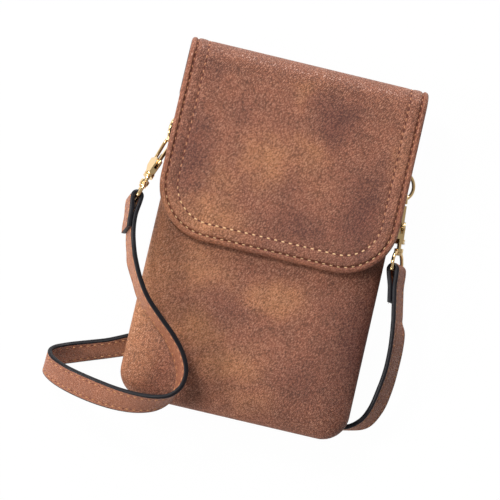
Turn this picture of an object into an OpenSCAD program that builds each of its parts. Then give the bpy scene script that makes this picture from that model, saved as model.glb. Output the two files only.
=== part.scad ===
// Phone pouch with a flap, two side rings and a crossbody strap with snap clasps.
// The pouch lies on its back on the wound-up spare length of its strap.
// X runs across the pouch, Y towards its folded top, Z out of its front.
// The origin is on the table, under the middle of the pouch.

/* [Pouch] */
// Width of the pouch body
body_w = 120; // [112:1:130]
// Height of the closed pouch, over the fold of the flap
pouch_l = 187; // [176:1:200]
// Thickness of the pouch body
body_t = 18; // [16:0.5:20]
// Radius of the two lower corners
bottom_r = 14; // [12:0.5:18]
// Thickness of the outer leather of the body
leather_t = 1.4; // [1:0.1:1.8]
// Thickness of the foam behind the outer leather
padding_t = 1.2; // [0.8:0.1:1.6]
// Thickness of the lining cloth
lining_t = 0.6; // [0.4:0.1:0.8]
// Height of the leather facing inside the mouth
facing_l = 14; // [10:1:20]
// Thickness of the facing
facing_t = 1; // [0.8:0.1:1.2]

/* [Flap] */
// How far the flap stands past each side of the body
flap_overhang = 2.7; // [1.5:0.1:4]
// Height of the flap, from the top of the fold to its lower edge
flap_l = 103; // [90:1:112]
// Radius of the flap's two lower corners
flap_r = 29; // [20:1:36]
// Thickness of the flap over all its layers
flap_t = 2.8; // [2.4:0.1:3.2]
// Thickness of the flap's outer leather
flap_leather_t = 1.3; // [1.1:0.1:1.5]
// Thickness of the board inside the flap
flap_board_t = 0.5; // [0.4:0.1:0.7]
// Width of the turned rim of the flap
rim_w = 3; // [2.4:0.1:3.6]
// Width of the sunk line that holds the rim's stitches
stitch_groove_w = 1; // [0.6:0.1:1.4]
// Depth of that line
stitch_groove_d = 0.4; // [0.2:0.1:0.6]
// Air between the closed flap and the front of the body
flap_gap = 0.8; // [0.6:0.1:1.2]
// Straight stretch of leather between the two bends of the fold
fold_strip = 2.4; // [1.6:0.2:4]
// Length of leather sewn down on the back of the body
tail_l = 22; // [16:1:30]
// Radius of the sewn-down leather's lower corners
tail_r = 6; // [3:0.5:10]

/* [Snap] */
// Diameter of the magnet case in the front of the body
magnet_d = 14; // [12:0.5:16]
// Height of the magnet case
magnet_h = 2.6; // [2.2:0.1:3]
// How far the case stands out of the leather
magnet_proud = 0.3; // [0.2:0.05:0.5]
// Radius of the stud under the flap
stud_r = 2.2; // [1.8:0.1:2.6]
// Height of the stud under its plate
stud_h = 1.8; // [1.4:0.1:2]
// Thickness of the stud's plate
stud_plate_t = 0.7; // [0.5:0.1:0.9]
// Diameter of the two backing washers
washer_d = 17; // [15:0.5:19]
// Thickness of the two backing washers
washer_t = 0.5; // [0.3:0.1:0.6]
// Height of the snap's centre over the flap's lower edge
snap_up = 17; // [14:1:24]

/* [Side rings] */
// Distance of the ring's centre below the top of the pouch
ring_down = 50; // [40:1:60]
// Radius of the D-ring, at the middle of its wire
ring_r = 6.8; // [6.6:0.1:8]
// Radius of the ring's wire
ring_wire_r = 0.9; // [0.8:0.05:1]
// Width of the leather tab that holds the ring
tab_w = 5.6; // [5:0.2:6.2]
// How far the bar of a ring stands out past the side of the body
ring_seat = 0.6; // [0.4:0.1:1]
// Thickness of the tab's leather
tab_t = 1.1; // [0.9:0.1:1.2]
// Tilt of the right ring towards the back, in degrees
right_ring_tilt = 30; // [0:1:40]
// Tilt of the left ring towards the front, in degrees
left_ring_tilt = 67; // [60:1:70]

/* [Clasps] */
// Radius of the claw's bow, at the middle of its wire
claw_r = 4.1; // [3.9:0.1:4.6]
// Radius of the claw's wire
claw_wire_r = 0.9; // [0.8:0.05:1]
// Length of the claw, from its bow to its two collars
claw_l = 23.4; // [22:0.2:26]
// Thickness of the claw's body
claw_t = 3.4; // [3:0.1:4]
// Thickness of the lever
gate_t = 1.4; // [1.2:0.1:1.6]
// Radius of the lever's pin
pin_r = 0.6; // [0.5:0.05:0.7]
// Radius of the thumb knob
knob_r = 1.2; // [1:0.1:1.4]
// Radius of the swivel's stem
stem_r = 1.1; // [0.9:0.05:1.3]
// Radius of the rivet head under the eye
rivet_r = 1.9; // [1.6:0.1:2.2]
// Radius of the wire of the eye
eye_wire_r = 0.9; // [0.8:0.05:1]
// Length of the eye, from its top to its bar
eye_l = 10.3; // [9.9:0.1:12]

/* [Strap] */
// Width of the strap
strap_w = 14; // [12:0.5:16]
// Thickness of the strap
strap_t = 2.4; // [2:0.1:2.6]
// Length of the folded-back end below the bar of the eye
fold_back_l = 17; // [14:1:22]
// Length of the sewn strap end below the bar of the eye
strap_end_l = 24; // [23:1:28]
// Turns of the left arm of the wound strap
coil_turns = 2.5; // [1.5:0.1:2.6]
// Air between the turns
coil_gap = 0.6; // [0.5:0.1:0.8]
// Radius of the two bends at the middle of the coil
coil_bend_r = 7; // [6:0.5:7]

/* [Hidden] */

leather = "#8a4f2f";
leather_light = "#a0623c";
lining_cloth = "#3b2a20";
foam = "#cfc8b8";
board = "#b9ab90";
gold = "#d8b56a";
steel = "#b8b8b4";
inside_leather = "#4b3026";

$fn = 48;

// Clearances and small shared sizes
seat_gap = 0.3;
run_gap = 0.05;
wire_gap = 0.15;
hold_gap = 0.55;
slot_gap = 0.1;
overrun = 1;

// Heights of the stack, from the table up
back_z = strap_w + seat_gap;
edge_r = body_t / 2;
seam_z = back_z + edge_r;
front_z = back_z + body_t;
flap_in_z = front_z + flap_gap;
flap_out_z = flap_in_z + flap_t;
tail_z = back_z - flap_t;

// The fold of the flap: two quarter bends and a straight strip
fold_r = (flap_out_z - tail_z - fold_strip) / 2;
fold_in_r = fold_r - flap_t;
top_y = pouch_l / 2;
bottom_y = -pouch_l / 2;
fold_y = top_y - fold_r;
fold_back_z = tail_z + fold_r;
fold_front_z = flap_out_z - fold_r;
mouth_y = fold_y - seat_gap;
flap_w = body_w + 2 * flap_overhang;
flap_y = top_y - flap_l;

// The lining starts behind the leather and the foam
lining_in = leather_t + padding_t;
facing_in = lining_in + lining_t;

// The snap
snap_y = flap_y + snap_up;
magnet_top_z = front_z + magnet_proud;
magnet_bore_r = stud_r + 2 * slot_gap;
magnet_bore_d = stud_h + seat_gap;
stud_plate_z = magnet_top_z + seat_gap;

// The side rings and their tabs
ring_y = top_y - ring_down;
ring_x = body_w / 2 + ring_seat;
tab_loop_r = ring_wire_r + run_gap + tab_t;
bar_room_r = ring_wire_r * 1.7;
knob_up = claw_r * 0.4;
tab_in_x = body_w / 2 - leather_t - padding_t * 3 / 4;

// Places along a clasp, measured down from the middle of the bow's wire inside the ring
hold_s = ring_wire_r + claw_wire_r + hold_gap;
bow_s = claw_r;
gate_pin_s = claw_l * 0.72;
gate_pin_z = claw_r * 0.54;
gate_l = gate_pin_s - bow_s - claw_wire_r * 1.5;
claw_body_s = claw_l * 0.75;
claw_body_r = claw_r * 0.85;
neck_r = stem_r * 1.7;
collar_r = stem_r * 2.4;
collar_h = stem_r * 0.8;
collar_step = stem_r * 0.45;
swivel_s = claw_l + 2 * collar_h + collar_step;
eye_collar_r = stem_r * 2.1;
eye_collar_s = swivel_s + stem_r * 2.4;
eye_collar_h = stem_r * 1.8;
rivet_s = eye_collar_s + eye_collar_h + slot_gap;
rivet_h = rivet_r * 0.7;
eye_r = strap_w / 2 + 2 * wire_gap + eye_wire_r;
eye_top_s = eye_collar_s + eye_collar_h / 2;
bar_s = eye_top_s + eye_l;
bow_end_deg = 15;

// For the left and the right side: how the ring is tilted, where the claw sits on it, how the
// clasp leans out, how far it rises, how the claw and the eye are turned about the clasp's own
// axis and how the strap leaves the bar, in degrees
ring_tilt = [-left_ring_tilt, right_ring_tilt];
contact_deg = [36, 25];
clasp_lean = [17, 6];
clasp_rise = [14, 0];
claw_turn = [-24, 4];
eye_turn = [4, 24];
end_lean = [-17, 5];
// Which layer of the folded strap end runs on: 1 is the outer one, -1 the inner one
run_layer = [-1, 1];

// The strap's way, as shares of half the body's width, of half the pouch's height and of the
// levels under, in and over the pouch, with the direction of its width in plain steps
left_route_shares = [
    [-1.163, -0.308, 2.545], [-1.073, -0.399, 2.56], [-0.948, -0.486, 2.552],
    [-0.807, -0.57, 2.528], [-0.668, -0.65, 2.494], [-0.557, -0.735, 2.464],
    [-0.493, -0.823, 2.453], [-0.49, -0.907, 2.47], [-0.548, -0.976, 2.498],
    [-0.662, -1.02, 2.503], [-0.816, -1.04, 2.454], [-0.991, -1.041, 2.338],
    [-1.169, -1.028, 2.162], [-1.336, -1.007, 1.934], [-1.477, -0.981, 1.671],
    [-1.575, -0.95, 1.396], [-1.616, -0.917, 1.131], [-1.591, -0.885, 0.877],
    [-1.512, -0.858, 0.669], [-1.399, -0.829, 0.56], [-1.266, -0.798, 0.54],
    [-1.124, -0.765, 0.569], [-0.981, -0.725, 0.588], [-0.845, -0.682, 0.548],
    [-0.73, -0.63, 0.5], [-0.66, -0.55, 0.5], [-0.61, -0.44, 0.49]
];
left_width_steps = [
    [-4, -5, -39], [-6, -4, -39], [-9, -6, -39], [-8, -6, -39], [-9, -6, -39],
    [-11, -6, -38], [-11, -3, -38], [-5, -1, -40], [4, -6, -39], [8, -17, -35],
    [7, -25, -30], [5, -30, -26], [3, -33, -23], [3, -33, -22], [3, -33, -23],
    [3, -33, -22], [-1, -33, -23], [-3, -30, -26], [1, -28, -29], [6, -26, -30],
    [9, -24, -31], [10, -23, -31], [11, -25, -29], [12, -25, -29], [3, -14, -37],
    [3, -8, -39], [0, -3, -40]
];
right_route_shares = [
    [1.242, -0.336, 1.521], [1.259, -0.43, 1.439], [1.263, -0.541, 1.285],
    [1.251, -0.657, 1.1], [1.22, -0.767, 0.91], [1.146, -0.854, 0.7],
    [0.999, -0.898, 0.535], [0.808, -0.91, 0.492], [0.68, -0.9, 0.49],
    [0.55, -0.8, 0.49]
];
right_width_steps = [
    [21, 6, -34], [21, 9, -33], [21, 9, -33], [23, 7, -32], [22, 2, -33],
    [16, -4, -36], [2, 0, -40], [0, 0, -40], [0, 0, -40], [0, 0, -40]
];
// Steps of the curve between two of these places
route_steps = 3;
// Degrees a side round the fold of a strap end
loop_step_deg = 12;

// The coil: its arms leave it at these angles, and its turns have this many degrees a side
coil_left_deg = 170;
coil_right_deg = 225;
coil_step_deg = 15;
coil_pitch = strap_t + coil_gap;
coil_start_r = 2 * coil_bend_r;

function level_z(level) =
    level < 1 ? level * back_z : back_z + (level - 1) * body_t;
function place(share) =
    [share[0] * body_w / 2, share[1] * pouch_l / 2, level_z(share[2])];

// A smooth curve through the places of a route
function blend_at(a, b, c, d, t) =
    (2 * b + (c - a) * t + (2 * a - 5 * b + 4 * c - d) * t * t
     + (3 * b - a - 3 * c + d) * t * t * t) / 2;
function smooth(p, steps) = [
    for (i = [0 : len(p) - 2])
        for (k = [0 : steps - 1])
            blend_at(
                i == 0 ? 2 * p[0] - p[1] : p[i - 1],
                p[i],
                p[i + 1],
                i == len(p) - 2 ? 2 * p[i + 1] - p[i] : p[i + 2],
                k / steps
            ),
    p[len(p) - 1]
];
function unit(v) = v / norm(v);
function heading(p, i) = unit(p[min(i + 1, len(p) - 1)] - p[max(i - 1, 0)]);
function square_to(v, h) = unit(v - (v * h) * h);
function path_length(p) =
    len(p) < 2 ? 0 : [for (i = [1 : len(p) - 1]) norm(p[i] - p[i - 1])] * [for (i = [1 : len(p) - 1]) 1];

// Turning and moving a point, as rotate() and translate() do
function turn_x(v, a) = [v[0], v[1] * cos(a) - v[2] * sin(a), v[1] * sin(a) + v[2] * cos(a)];
function turn_y(v, a) = [v[0] * cos(a) + v[2] * sin(a), v[1], v[2] * cos(a) - v[0] * sin(a)];
function turn_z(v, a) = [v[0] * cos(a) - v[1] * sin(a), v[0] * sin(a) + v[1] * cos(a), v[2]];
function flip_left(v, side) = side == 0 ? [-v[0], v[1], v[2]] : v;

// From a clasp's, an eye's and a strap end's own frame to the part's frame
function clasp_dir(v, side) = turn_z(turn_x(v, -clasp_rise[side]), clasp_lean[side]);
function eye_dir(v, side) = clasp_dir(turn_y(v, -eye_turn[side]), side);
function strap_end_dir(v, side) = flip_left(eye_dir(turn_z(v, end_lean[side]), side), side);
function claw_seat(side) =
    [ring_x, ring_y, seam_z]
    + turn_y(
        [ring_r * sin(contact_deg[side]), -ring_r * cos(contact_deg[side]), 0],
        ring_tilt[side]
    )
    + clasp_dir([0, hold_s, 0], side);
function strap_end_point(v, side) =
    flip_left(claw_seat(side) + clasp_dir([0, -bar_s, 0], side), side)
    + strap_end_dir(v, side);

// One arm of the coil, from its middle outwards, and its heading where it ends
function coil_arm(start_deg, turns) = [
    for (a = [180 : coil_step_deg : 360 - coil_step_deg])
        coil_bend_r * [
            cos(start_deg) + cos(a + start_deg), sin(start_deg) + sin(a + start_deg)
        ],
    for (k = [0 : ceil(turns * 360 / coil_step_deg)])
        let (
            a = min(k * coil_step_deg, turns * 360),
            r = coil_start_r + 2 * coil_pitch * a / 360
        ) r * [cos(start_deg + a), sin(start_deg + a)]
];
coil_start_deg = coil_left_deg - 360 * coil_turns;
coil_right_turns = coil_turns - (coil_left_deg + 180 - coil_right_deg) / 360;
coil_left_arm = coil_arm(coil_start_deg, coil_turns);
coil_right_arm = coil_arm(coil_start_deg + 180, coil_right_turns);
coil_path = concat(
    [for (i = [len(coil_left_arm) - 1 : -1 : 1]) coil_left_arm[i]],
    coil_right_arm
);
function coil_exit(arm) =
    let (e = arm[len(arm) - 1]) [e[0], e[1], strap_w / 2];
function coil_heading(deg) = [-sin(deg), cos(deg), 0];

// The whole way of each run: out of the strap end, along its route and into the coil
run_lead = strap_w * 0.4;
function run_places(side) =
    let (
        seam = strap_end_point([0, -strap_end_l - seat_gap, 0]
                               + [run_layer[side] * strap_t / 2, 0, 0], side),
        away = strap_end_dir([0, -1, 0], side),
        arm = side == 0 ? coil_left_arm : coil_right_arm,
        deg = side == 0 ? coil_left_deg : coil_right_deg,
        route = side == 0 ? left_route_shares : right_route_shares
    ) concat(
        [seam, seam + away * run_lead / 2],
        [for (s = route) place(s)],
        [coil_exit(arm) + coil_heading(deg) * 2 * run_lead, coil_exit(arm)]
    );
function run_widths(side) =
    let (
        across = strap_end_dir([0, 0, -1], side),
        steps = side == 0 ? left_width_steps : right_width_steps
    ) concat(
        [across, across],
        [for (w = steps) unit(w)],
        [[0, 0, -1], [0, 0, -1]]
    );

echo(
    strap_length = path_length(smooth(run_places(0), route_steps))
        + path_length(smooth(run_places(1), route_steps)) + path_length(coil_path)
        + 2 * (strap_end_l + fold_back_l + PI * (eye_wire_r + strap_t / 2))
);
echo(
    coil_least_gap = min([
        for (i = [0 : len(coil_path) - 1])
            for (k = [i + 8 : len(coil_path) - 1])
                norm(coil_path[i] - coil_path[k])
    ]) - strap_t
);

module quarter_ring(outer, inner) {
    intersection() {
        difference() {
            circle(r = outer);
            circle(r = inner);
        }
        square(outer);
    }
}

// A plate whose lower end has two round corners, between two heights
module round_ended_plate(half_w, low_y, high_y, r, low_z, high_z) {
    translate([0, 0, low_z])
        linear_extrude(high_z - low_z)
            union() {
                translate([-half_w, low_y + r]) square([2 * half_w, high_y - low_y - r]);
                translate([r - half_w, low_y]) square([2 * (half_w - r), r]);
                for (s = [-1, 1])
                    translate([s * (half_w - r), low_y + r]) circle(r = r);
            }
}

// Half of the body's round-edged shell, set in from the outside, standing on the seam plane
module half_shell(set_in, t, high_y) {
    outer = edge_r - set_in;
    inner = outer - t;
    flat_x = body_w / 2 - edge_r;
    corner_x = body_w / 2 - bottom_r;
    round_ended_plate(
        flat_x, bottom_y + edge_r, high_y, bottom_r - edge_r, inner, outer
    );
    for (s = [0, 1])
        mirror([s, 0, 0]) {
            translate([flat_x, high_y, 0])
                rotate([90, 0, 0])
                    linear_extrude(high_y - bottom_y - bottom_r) quarter_ring(outer, inner);
            translate([corner_x, bottom_y + bottom_r, 0])
                rotate([0, 0, -90])
                    rotate_extrude(angle = 90)
                        translate([bottom_r - edge_r, 0]) quarter_ring(outer, inner);
        }
    translate([corner_x, bottom_y + edge_r, 0])
        rotate([0, -90, 0])
            linear_extrude(2 * corner_x)
                rotate(-90) quarter_ring(outer, inner);
}

module on_front() {
    translate([0, 0, seam_z]) children();
}

module on_back() {
    translate([0, 0, seam_z]) mirror([0, 0, 1]) children();
}

// The room in the side seam that a ring's tab fills, and the one its bar turns in
module tab_room() {
    bar_l = 2 * (ring_r + ring_wire_r + slot_gap);
    for (s = [0, 1])
        mirror([s, 0, 0]) {
            tab_solid();
            translate([ring_x, ring_y + bar_l / 2, seam_z])
                rotate([90, 0, 0]) cylinder(h = bar_l, r = bar_room_r);
        }
}

module tab_solid() {
    translate([ring_x, ring_y + tab_w / 2, seam_z])
        rotate([90, 0, 0]) cylinder(h = tab_w, r = tab_loop_r);
    translate([tab_in_x, ring_y - tab_w / 2, seam_z - tab_t])
        cube([ring_x - tab_in_x, tab_w, 2 * tab_t]);
}

module back_panel() {
    color(leather)
        difference() {
            on_back() half_shell(0, leather_t, mouth_y);
            tab_room();
        }
}

module front_panel() {
    color(leather)
        difference() {
            on_front() half_shell(0, leather_t, mouth_y);
            tab_room();
            translate([0, snap_y, front_z - magnet_h]) cylinder(h = 2 * magnet_h, d = magnet_d);
        }
}

module padding() {
    half_w = body_w / 2 - edge_r * 3 / 2;
    low_y = bottom_y + edge_r * 3 / 2;
    round_ended_plate(
        half_w, low_y, mouth_y - facing_l / 2, bottom_r - edge_r,
        edge_r - lining_in, edge_r - leather_t
    );
}

module back_padding() {
    color(foam) on_back() padding();
}

module front_padding() {
    color(foam)
        difference() {
            on_front() padding();
            translate([0, snap_y, front_z - magnet_h]) cylinder(h = magnet_h, d = washer_d);
        }
}

module back_lining() {
    color(lining_cloth) on_back() half_shell(lining_in, lining_t, mouth_y);
}

module front_lining() {
    color(lining_cloth)
        difference() {
            on_front() half_shell(lining_in, lining_t, mouth_y);
            translate([0, snap_y, front_z - leather_t - padding_t - 2 * lining_t])
                cylinder(h = 3 * lining_t, d = washer_d);
        }
}

// A leather strip round the inside of the mouth, on the lining
module facing() {
    flat_x = body_w / 2 - edge_r;
    translate([-flat_x, mouth_y - facing_l, edge_r - facing_in - facing_t])
        cube([2 * flat_x, facing_l, facing_t]);
}

module back_facing() {
    color(leather) on_back() facing();
}

module front_facing() {
    color(leather) on_front() facing();
}

// The part of the flap that is sewn down on the back of the body
module flap_tail() {
    color(leather)
        round_ended_plate(flap_w / 2, fold_y - tail_l, fold_y, tail_r, tail_z, back_z);
}

module fold_bend() {
    translate([-flap_w / 2, 0, 0])
        rotate([90, 0, 90])
            linear_extrude(flap_w) quarter_ring(fold_r, fold_in_r);
}

module flap_fold_back() {
    color(leather)
        translate([0, fold_y, fold_back_z]) mirror([0, 0, 1]) fold_bend();
}

module flap_top_strip() {
    color(leather)
        translate([-flap_w / 2, top_y - flap_t, fold_back_z])
            cube([flap_w, flap_t, fold_strip]);
}

module flap_fold_front() {
    color(leather) translate([0, fold_y, fold_front_z]) fold_bend();
}

// The flap's outline, set in by a distance, between two heights
module flap_sheet(set_in, low_z, high_z) {
    round_ended_plate(
        flap_w / 2 - set_in, flap_y + set_in, fold_y, flap_r - set_in, low_z, high_z
    );
}

module half_disc(r) {
    intersection() {
        circle(r = r);
        translate([0, -r]) square([r, 2 * r]);
    }
}

// The rounded outer edge of the flap's turned rim
module flap_edge() {
    r = flap_t / 2;
    side_x = flap_w / 2 - r;
    corner_x = flap_w / 2 - flap_r;
    translate([0, 0, flap_in_z + r]) {
        for (s = [0, 1])
            mirror([s, 0, 0]) {
                translate([side_x, fold_y, 0])
                    rotate([90, 0, 0])
                        linear_extrude(fold_y - flap_y - flap_r) half_disc(r);
                translate([corner_x, flap_y + flap_r, 0])
                    rotate([0, 0, -90])
                        rotate_extrude(angle = 90)
                            translate([flap_r - r, 0]) half_disc(r);
            }
        translate([corner_x, flap_y + r, 0])
            rotate([0, -90, 0])
                linear_extrude(2 * corner_x)
                    rotate(-90) half_disc(r);
    }
}

module flap_outer() {
    color(leather)
        union() {
            flap_edge();
            difference() {
                flap_sheet(flap_t / 2, flap_in_z, flap_out_z);
                flap_sheet(rim_w, flap_in_z - overrun, flap_out_z - flap_leather_t);
                difference() {
                    flap_sheet(rim_w, flap_out_z - stitch_groove_d, flap_out_z + overrun);
                    flap_sheet(
                        rim_w + stitch_groove_w, flap_out_z - 2 * stitch_groove_d,
                        flap_out_z + 2 * overrun
                    );
                }
            }
        }
}

module flap_board() {
    color(board)
        difference() {
            flap_sheet(
                rim_w + slot_gap, flap_out_z - flap_leather_t - flap_board_t,
                flap_out_z - flap_leather_t
            );
            translate([0, snap_y, flap_in_z]) cylinder(h = flap_t, d = washer_d);
        }
}

module flap_lining() {
    color(inside_leather)
        difference() {
            flap_sheet(rim_w + slot_gap, flap_in_z, flap_out_z - flap_leather_t - flap_board_t);
            translate([0, snap_y, flap_in_z - overrun]) cylinder(h = flap_t, d = magnet_d);
        }
}

module snap_stud() {
    color(steel)
        translate([0, snap_y, 0]) {
            translate([0, 0, stud_plate_z]) cylinder(h = stud_plate_t, d = magnet_d);
            translate([0, 0, stud_plate_z - stud_h]) cylinder(h = stud_h, r = stud_r);
        }
}

module snap_stud_washer() {
    color(steel)
        translate([0, snap_y, flap_out_z - flap_leather_t - washer_t])
            cylinder(h = washer_t, d = washer_d);
}

module snap_magnet() {
    color(steel)
        difference() {
            translate([0, snap_y, magnet_top_z - magnet_h]) cylinder(h = magnet_h, d = magnet_d);
            translate([0, snap_y, magnet_top_z - magnet_bore_d])
                cylinder(h = 2 * magnet_bore_d, r = magnet_bore_r);
        }
}

module snap_magnet_washer() {
    color(steel)
        translate([0, snap_y, magnet_top_z - magnet_h - washer_t])
            cylinder(h = washer_t, d = washer_d);
}

// Moves what is drawn for the right side to its own side: 0 is the left, 1 the right
module to_side(side) {
    mirror([side == 0 ? 1 : 0, 0, 0]) children();
}

module ring_frame(side) {
    translate([ring_x, ring_y, seam_z]) rotate([0, ring_tilt[side], 0]) children();
}

module clasp_axis_frame(side) {
    translate(claw_seat(side))
        rotate([0, 0, clasp_lean[side]])
            rotate([-clasp_rise[side], 0, 0]) children();
}

module clasp_frame(side) {
    clasp_axis_frame(side) rotate([0, claw_turn[side], 0]) children();
}

module eye_frame(side) {
    clasp_axis_frame(side) rotate([0, -eye_turn[side], 0]) children();
}

// A round rod down a clasp, from one distance to another
module rod_down(from_s, to_s, r) {
    translate([0, -to_s, 0]) rotate([-90, 0, 0]) cylinder(h = to_s - from_s, r = r);
}

module ring_tab(side) {
    color(inside_leather)
        to_side(side)
            difference() {
                tab_solid();
                translate([ring_x, ring_y + tab_w, seam_z])
                    rotate([90, 0, 0]) cylinder(h = 2 * tab_w, r = ring_wire_r + run_gap);
            }
}

module left_ring_tab() { ring_tab(0); }
module right_ring_tab() { ring_tab(1); }

module d_ring(side) {
    color(gold)
        to_side(side)
            ring_frame(side) {
                rotate([0, 0, -90])
                    rotate_extrude(angle = 180) translate([ring_r, 0]) circle(r = ring_wire_r);
                translate([0, -ring_r, 0])
                    rotate([-90, 0, 0]) cylinder(h = 2 * ring_r, r = ring_wire_r);
                for (s = [-1, 1])
                    translate([0, s * ring_r, 0]) sphere(r = ring_wire_r);
            }
}

module left_ring() { d_ring(0); }
module right_ring() { d_ring(1); }

// The claw's body, seen from its side: a round end that runs into the neck
module claw_body_outline() {
    translate([-claw_r * 0.15, -claw_body_s]) circle(r = claw_body_r);
    polygon([
        [-claw_r - claw_wire_r, -claw_body_s + claw_body_r],
        [-claw_r * 0.6, -claw_body_s + claw_body_r],
        [claw_body_r * 0.7, -claw_body_s - claw_body_r * 0.6],
        [neck_r, -claw_l],
        [-neck_r, -claw_l],
        [-claw_r - claw_wire_r, -claw_body_s - claw_body_r * 0.2]
    ]);
}

module claw(side) {
    color(gold)
        to_side(side)
            clasp_frame(side) {
                difference() {
                    union() {
                        translate([claw_t / 2, 0, 0])
                            rotate([0, -90, 0])
                                linear_extrude(claw_t) claw_body_outline();
                        translate([0, 0, -claw_r])
                            rod_down(bow_s, claw_body_s, claw_wire_r);
                    }
                    translate([-gate_t / 2 - slot_gap, -claw_l * 0.88, -claw_r * 0.45])
                        cube([gate_t + 2 * slot_gap, claw_l, 3 * claw_r]);
                    translate([-claw_t, -gate_pin_s, gate_pin_z])
                        rotate([0, 90, 0]) cylinder(h = 2 * claw_t, r = pin_r);
                }
                translate([0, -bow_s, 0])
                    rotate([0, 90, 0])
                        rotate_extrude(angle = 180 + bow_end_deg)
                            translate([claw_r, 0]) circle(r = claw_wire_r);
                rod_down(claw_l, swivel_s, collar_r - collar_step);
                rod_down(claw_l, claw_l + collar_h, collar_r);
                rod_down(swivel_s - collar_h, swivel_s, collar_r);
                rod_down(claw_l * 0.9, rivet_s, stem_r);
                rod_down(rivet_s, rivet_s + rivet_h, rivet_r);
            }
}

module left_claw() { claw(0); }
module right_claw() { claw(1); }

// The lever turns on its pin and its end closes the mouth of the claw
module gate(side) {
    color(gold)
        to_side(side)
            clasp_frame(side)
                difference() {
                    union() {
                        translate([-gate_t / 2, -gate_pin_s, gate_pin_z])
                            rotate([0, 90, 0]) cylinder(h = gate_t, r = pin_r * 2.6);
                        translate([-gate_t / 2, -gate_pin_s, gate_pin_z - pin_r])
                            rotate([atan((claw_r - gate_pin_z) / gate_l), 0, 0])
                                cube([gate_t, gate_l - pin_r, 2 * pin_r]);
                        translate([-gate_t / 2, -gate_pin_s - pin_r * 2, gate_pin_z])
                            cube([gate_t, 2 * pin_r * 2, knob_up]);
                        translate([0, -gate_pin_s, gate_pin_z + knob_up])
                            sphere(r = knob_r);
                    }
                    translate([-claw_t, -gate_pin_s, gate_pin_z])
                        rotate([0, 90, 0]) cylinder(h = 2 * claw_t, r = pin_r + run_gap);
                }
}

module left_gate() { gate(0); }
module right_gate() { gate(1); }

module gate_pin(side) {
    color(steel)
        to_side(side)
            clasp_frame(side)
                translate([-claw_t / 2, -gate_pin_s, gate_pin_z])
                    rotate([0, 90, 0]) cylinder(h = claw_t, r = pin_r);
}

module left_gate_pin() { gate_pin(0); }
module right_gate_pin() { gate_pin(1); }

// A bent leaf of spring steel in the slot behind the lever
module gate_spring(side) {
    leaf = pin_r / 3;
    foot_z = -claw_r * 0.45;
    color(steel)
        to_side(side)
            clasp_frame(side)
                translate([gate_t / 4, 0, 0])
                    rotate([0, -90, 0])
                        linear_extrude(gate_t / 2)
                            polygon([
                                [foot_z, -claw_l * 0.86],
                                [foot_z + leaf, -claw_l * 0.86],
                                [foot_z + leaf, -gate_pin_s + pin_r],
                                [gate_pin_z - pin_r * 2.2, -gate_pin_s + gate_l * 0.5],
                                [gate_pin_z - pin_r * 2.2 - leaf, -gate_pin_s + gate_l * 0.5],
                                [foot_z, -gate_pin_s + pin_r]
                            ]);
}

module left_gate_spring() { gate_spring(0); }
module right_gate_spring() { gate_spring(1); }

module eye(side) {
    color(gold)
        to_side(side)
            eye_frame(side)
                difference() {
                    union() {
                        rod_down(eye_collar_s, eye_collar_s + eye_collar_h, eye_collar_r);
                        translate([0, -eye_top_s - eye_r, 0])
                            rotate([0, 90, 0])
                                rotate_extrude(angle = 180)
                                    translate([eye_r, 0]) circle(r = eye_wire_r);
                        for (s = [-1, 1])
                            translate([0, 0, s * eye_r]) {
                                rod_down(eye_top_s + eye_r, bar_s, eye_wire_r);
                                translate([0, -bar_s, 0]) sphere(r = eye_wire_r);
                            }
                        translate([0, -bar_s, -eye_r]) cylinder(h = 2 * eye_r, r = eye_wire_r);
                    }
                    rod_down(eye_collar_s - overrun, rivet_s, stem_r + run_gap);
                    rod_down(rivet_s - slot_gap, rivet_s + rivet_h, rivet_r + slot_gap);
                }
}

module left_eye() { eye(0); }
module right_eye() { eye(1); }

// The strap's end, folded round the bar of the eye and sewn to itself: its section
module strap_end_section(layer) {
    loop_in = eye_wire_r + run_gap;
    loop_out = loop_in + strap_t;
    join_l = fold_back_l * 0.6;
    mirror([layer == 1 ? 0 : 1, 0])
        difference() {
            polygon(concat(
                [for (a = [0 : loop_step_deg : 180]) loop_out * [cos(a), sin(a)]],
                [
                    [-strap_t, -join_l], [-strap_t, -fold_back_l], [0, -fold_back_l],
                    [0, -strap_end_l], [strap_t, -strap_end_l], [strap_t, -join_l]
                ]
            ));
            circle(r = loop_in);
            polygon([[-loop_in * 0.8, 0], [loop_in * 0.8, 0], [0, -join_l]]);
        }
}

module strap_end(side) {
    color(leather_light)
        to_side(side)
            eye_frame(side)
                translate([0, -bar_s, -strap_w / 2])
                    rotate([0, 0, end_lean[side]])
                        linear_extrude(strap_w) strap_end_section(run_layer[side]);
}

module left_strap_end() { strap_end(0); }
module right_strap_end() { strap_end(1); }

// A flat band carried along a curve: widths gives the direction of its width at each place
module band(places, widths) {
    p = smooth(places, route_steps);
    w = smooth(widths, route_steps);
    sections = [
        for (i = [0 : len(p) - 1])
            let (
                h = heading(p, i),
                across = square_to(w[i], h) * strap_w / 2,
                out = unit(cross(h, across)) * strap_t / 2
            ) [p[i] - across - out, p[i] - across + out, p[i] + across + out, p[i] + across - out]
    ];
    last = len(p) - 1;
    polyhedron(
        points = [for (s = sections) each s],
        faces = concat(
            [[0, 2, 1], [0, 3, 2]],
            [[4 * last, 4 * last + 1, 4 * last + 2], [4 * last, 4 * last + 2, 4 * last + 3]],
            [
                for (i = [0 : last - 1])
                    for (k = [0 : 3])
                        let (a = 4 * i + k, b = 4 * i + (k + 1) % 4)
                        each [[a, b, b + 4], [a, b + 4, a + 4]]
            ]
        )
    );
}

module left_strap_run() {
    color(leather_light) band(run_places(0), run_widths(0));
}

module right_strap_run() {
    color(leather_light) band(run_places(1), run_widths(1));
}

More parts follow.
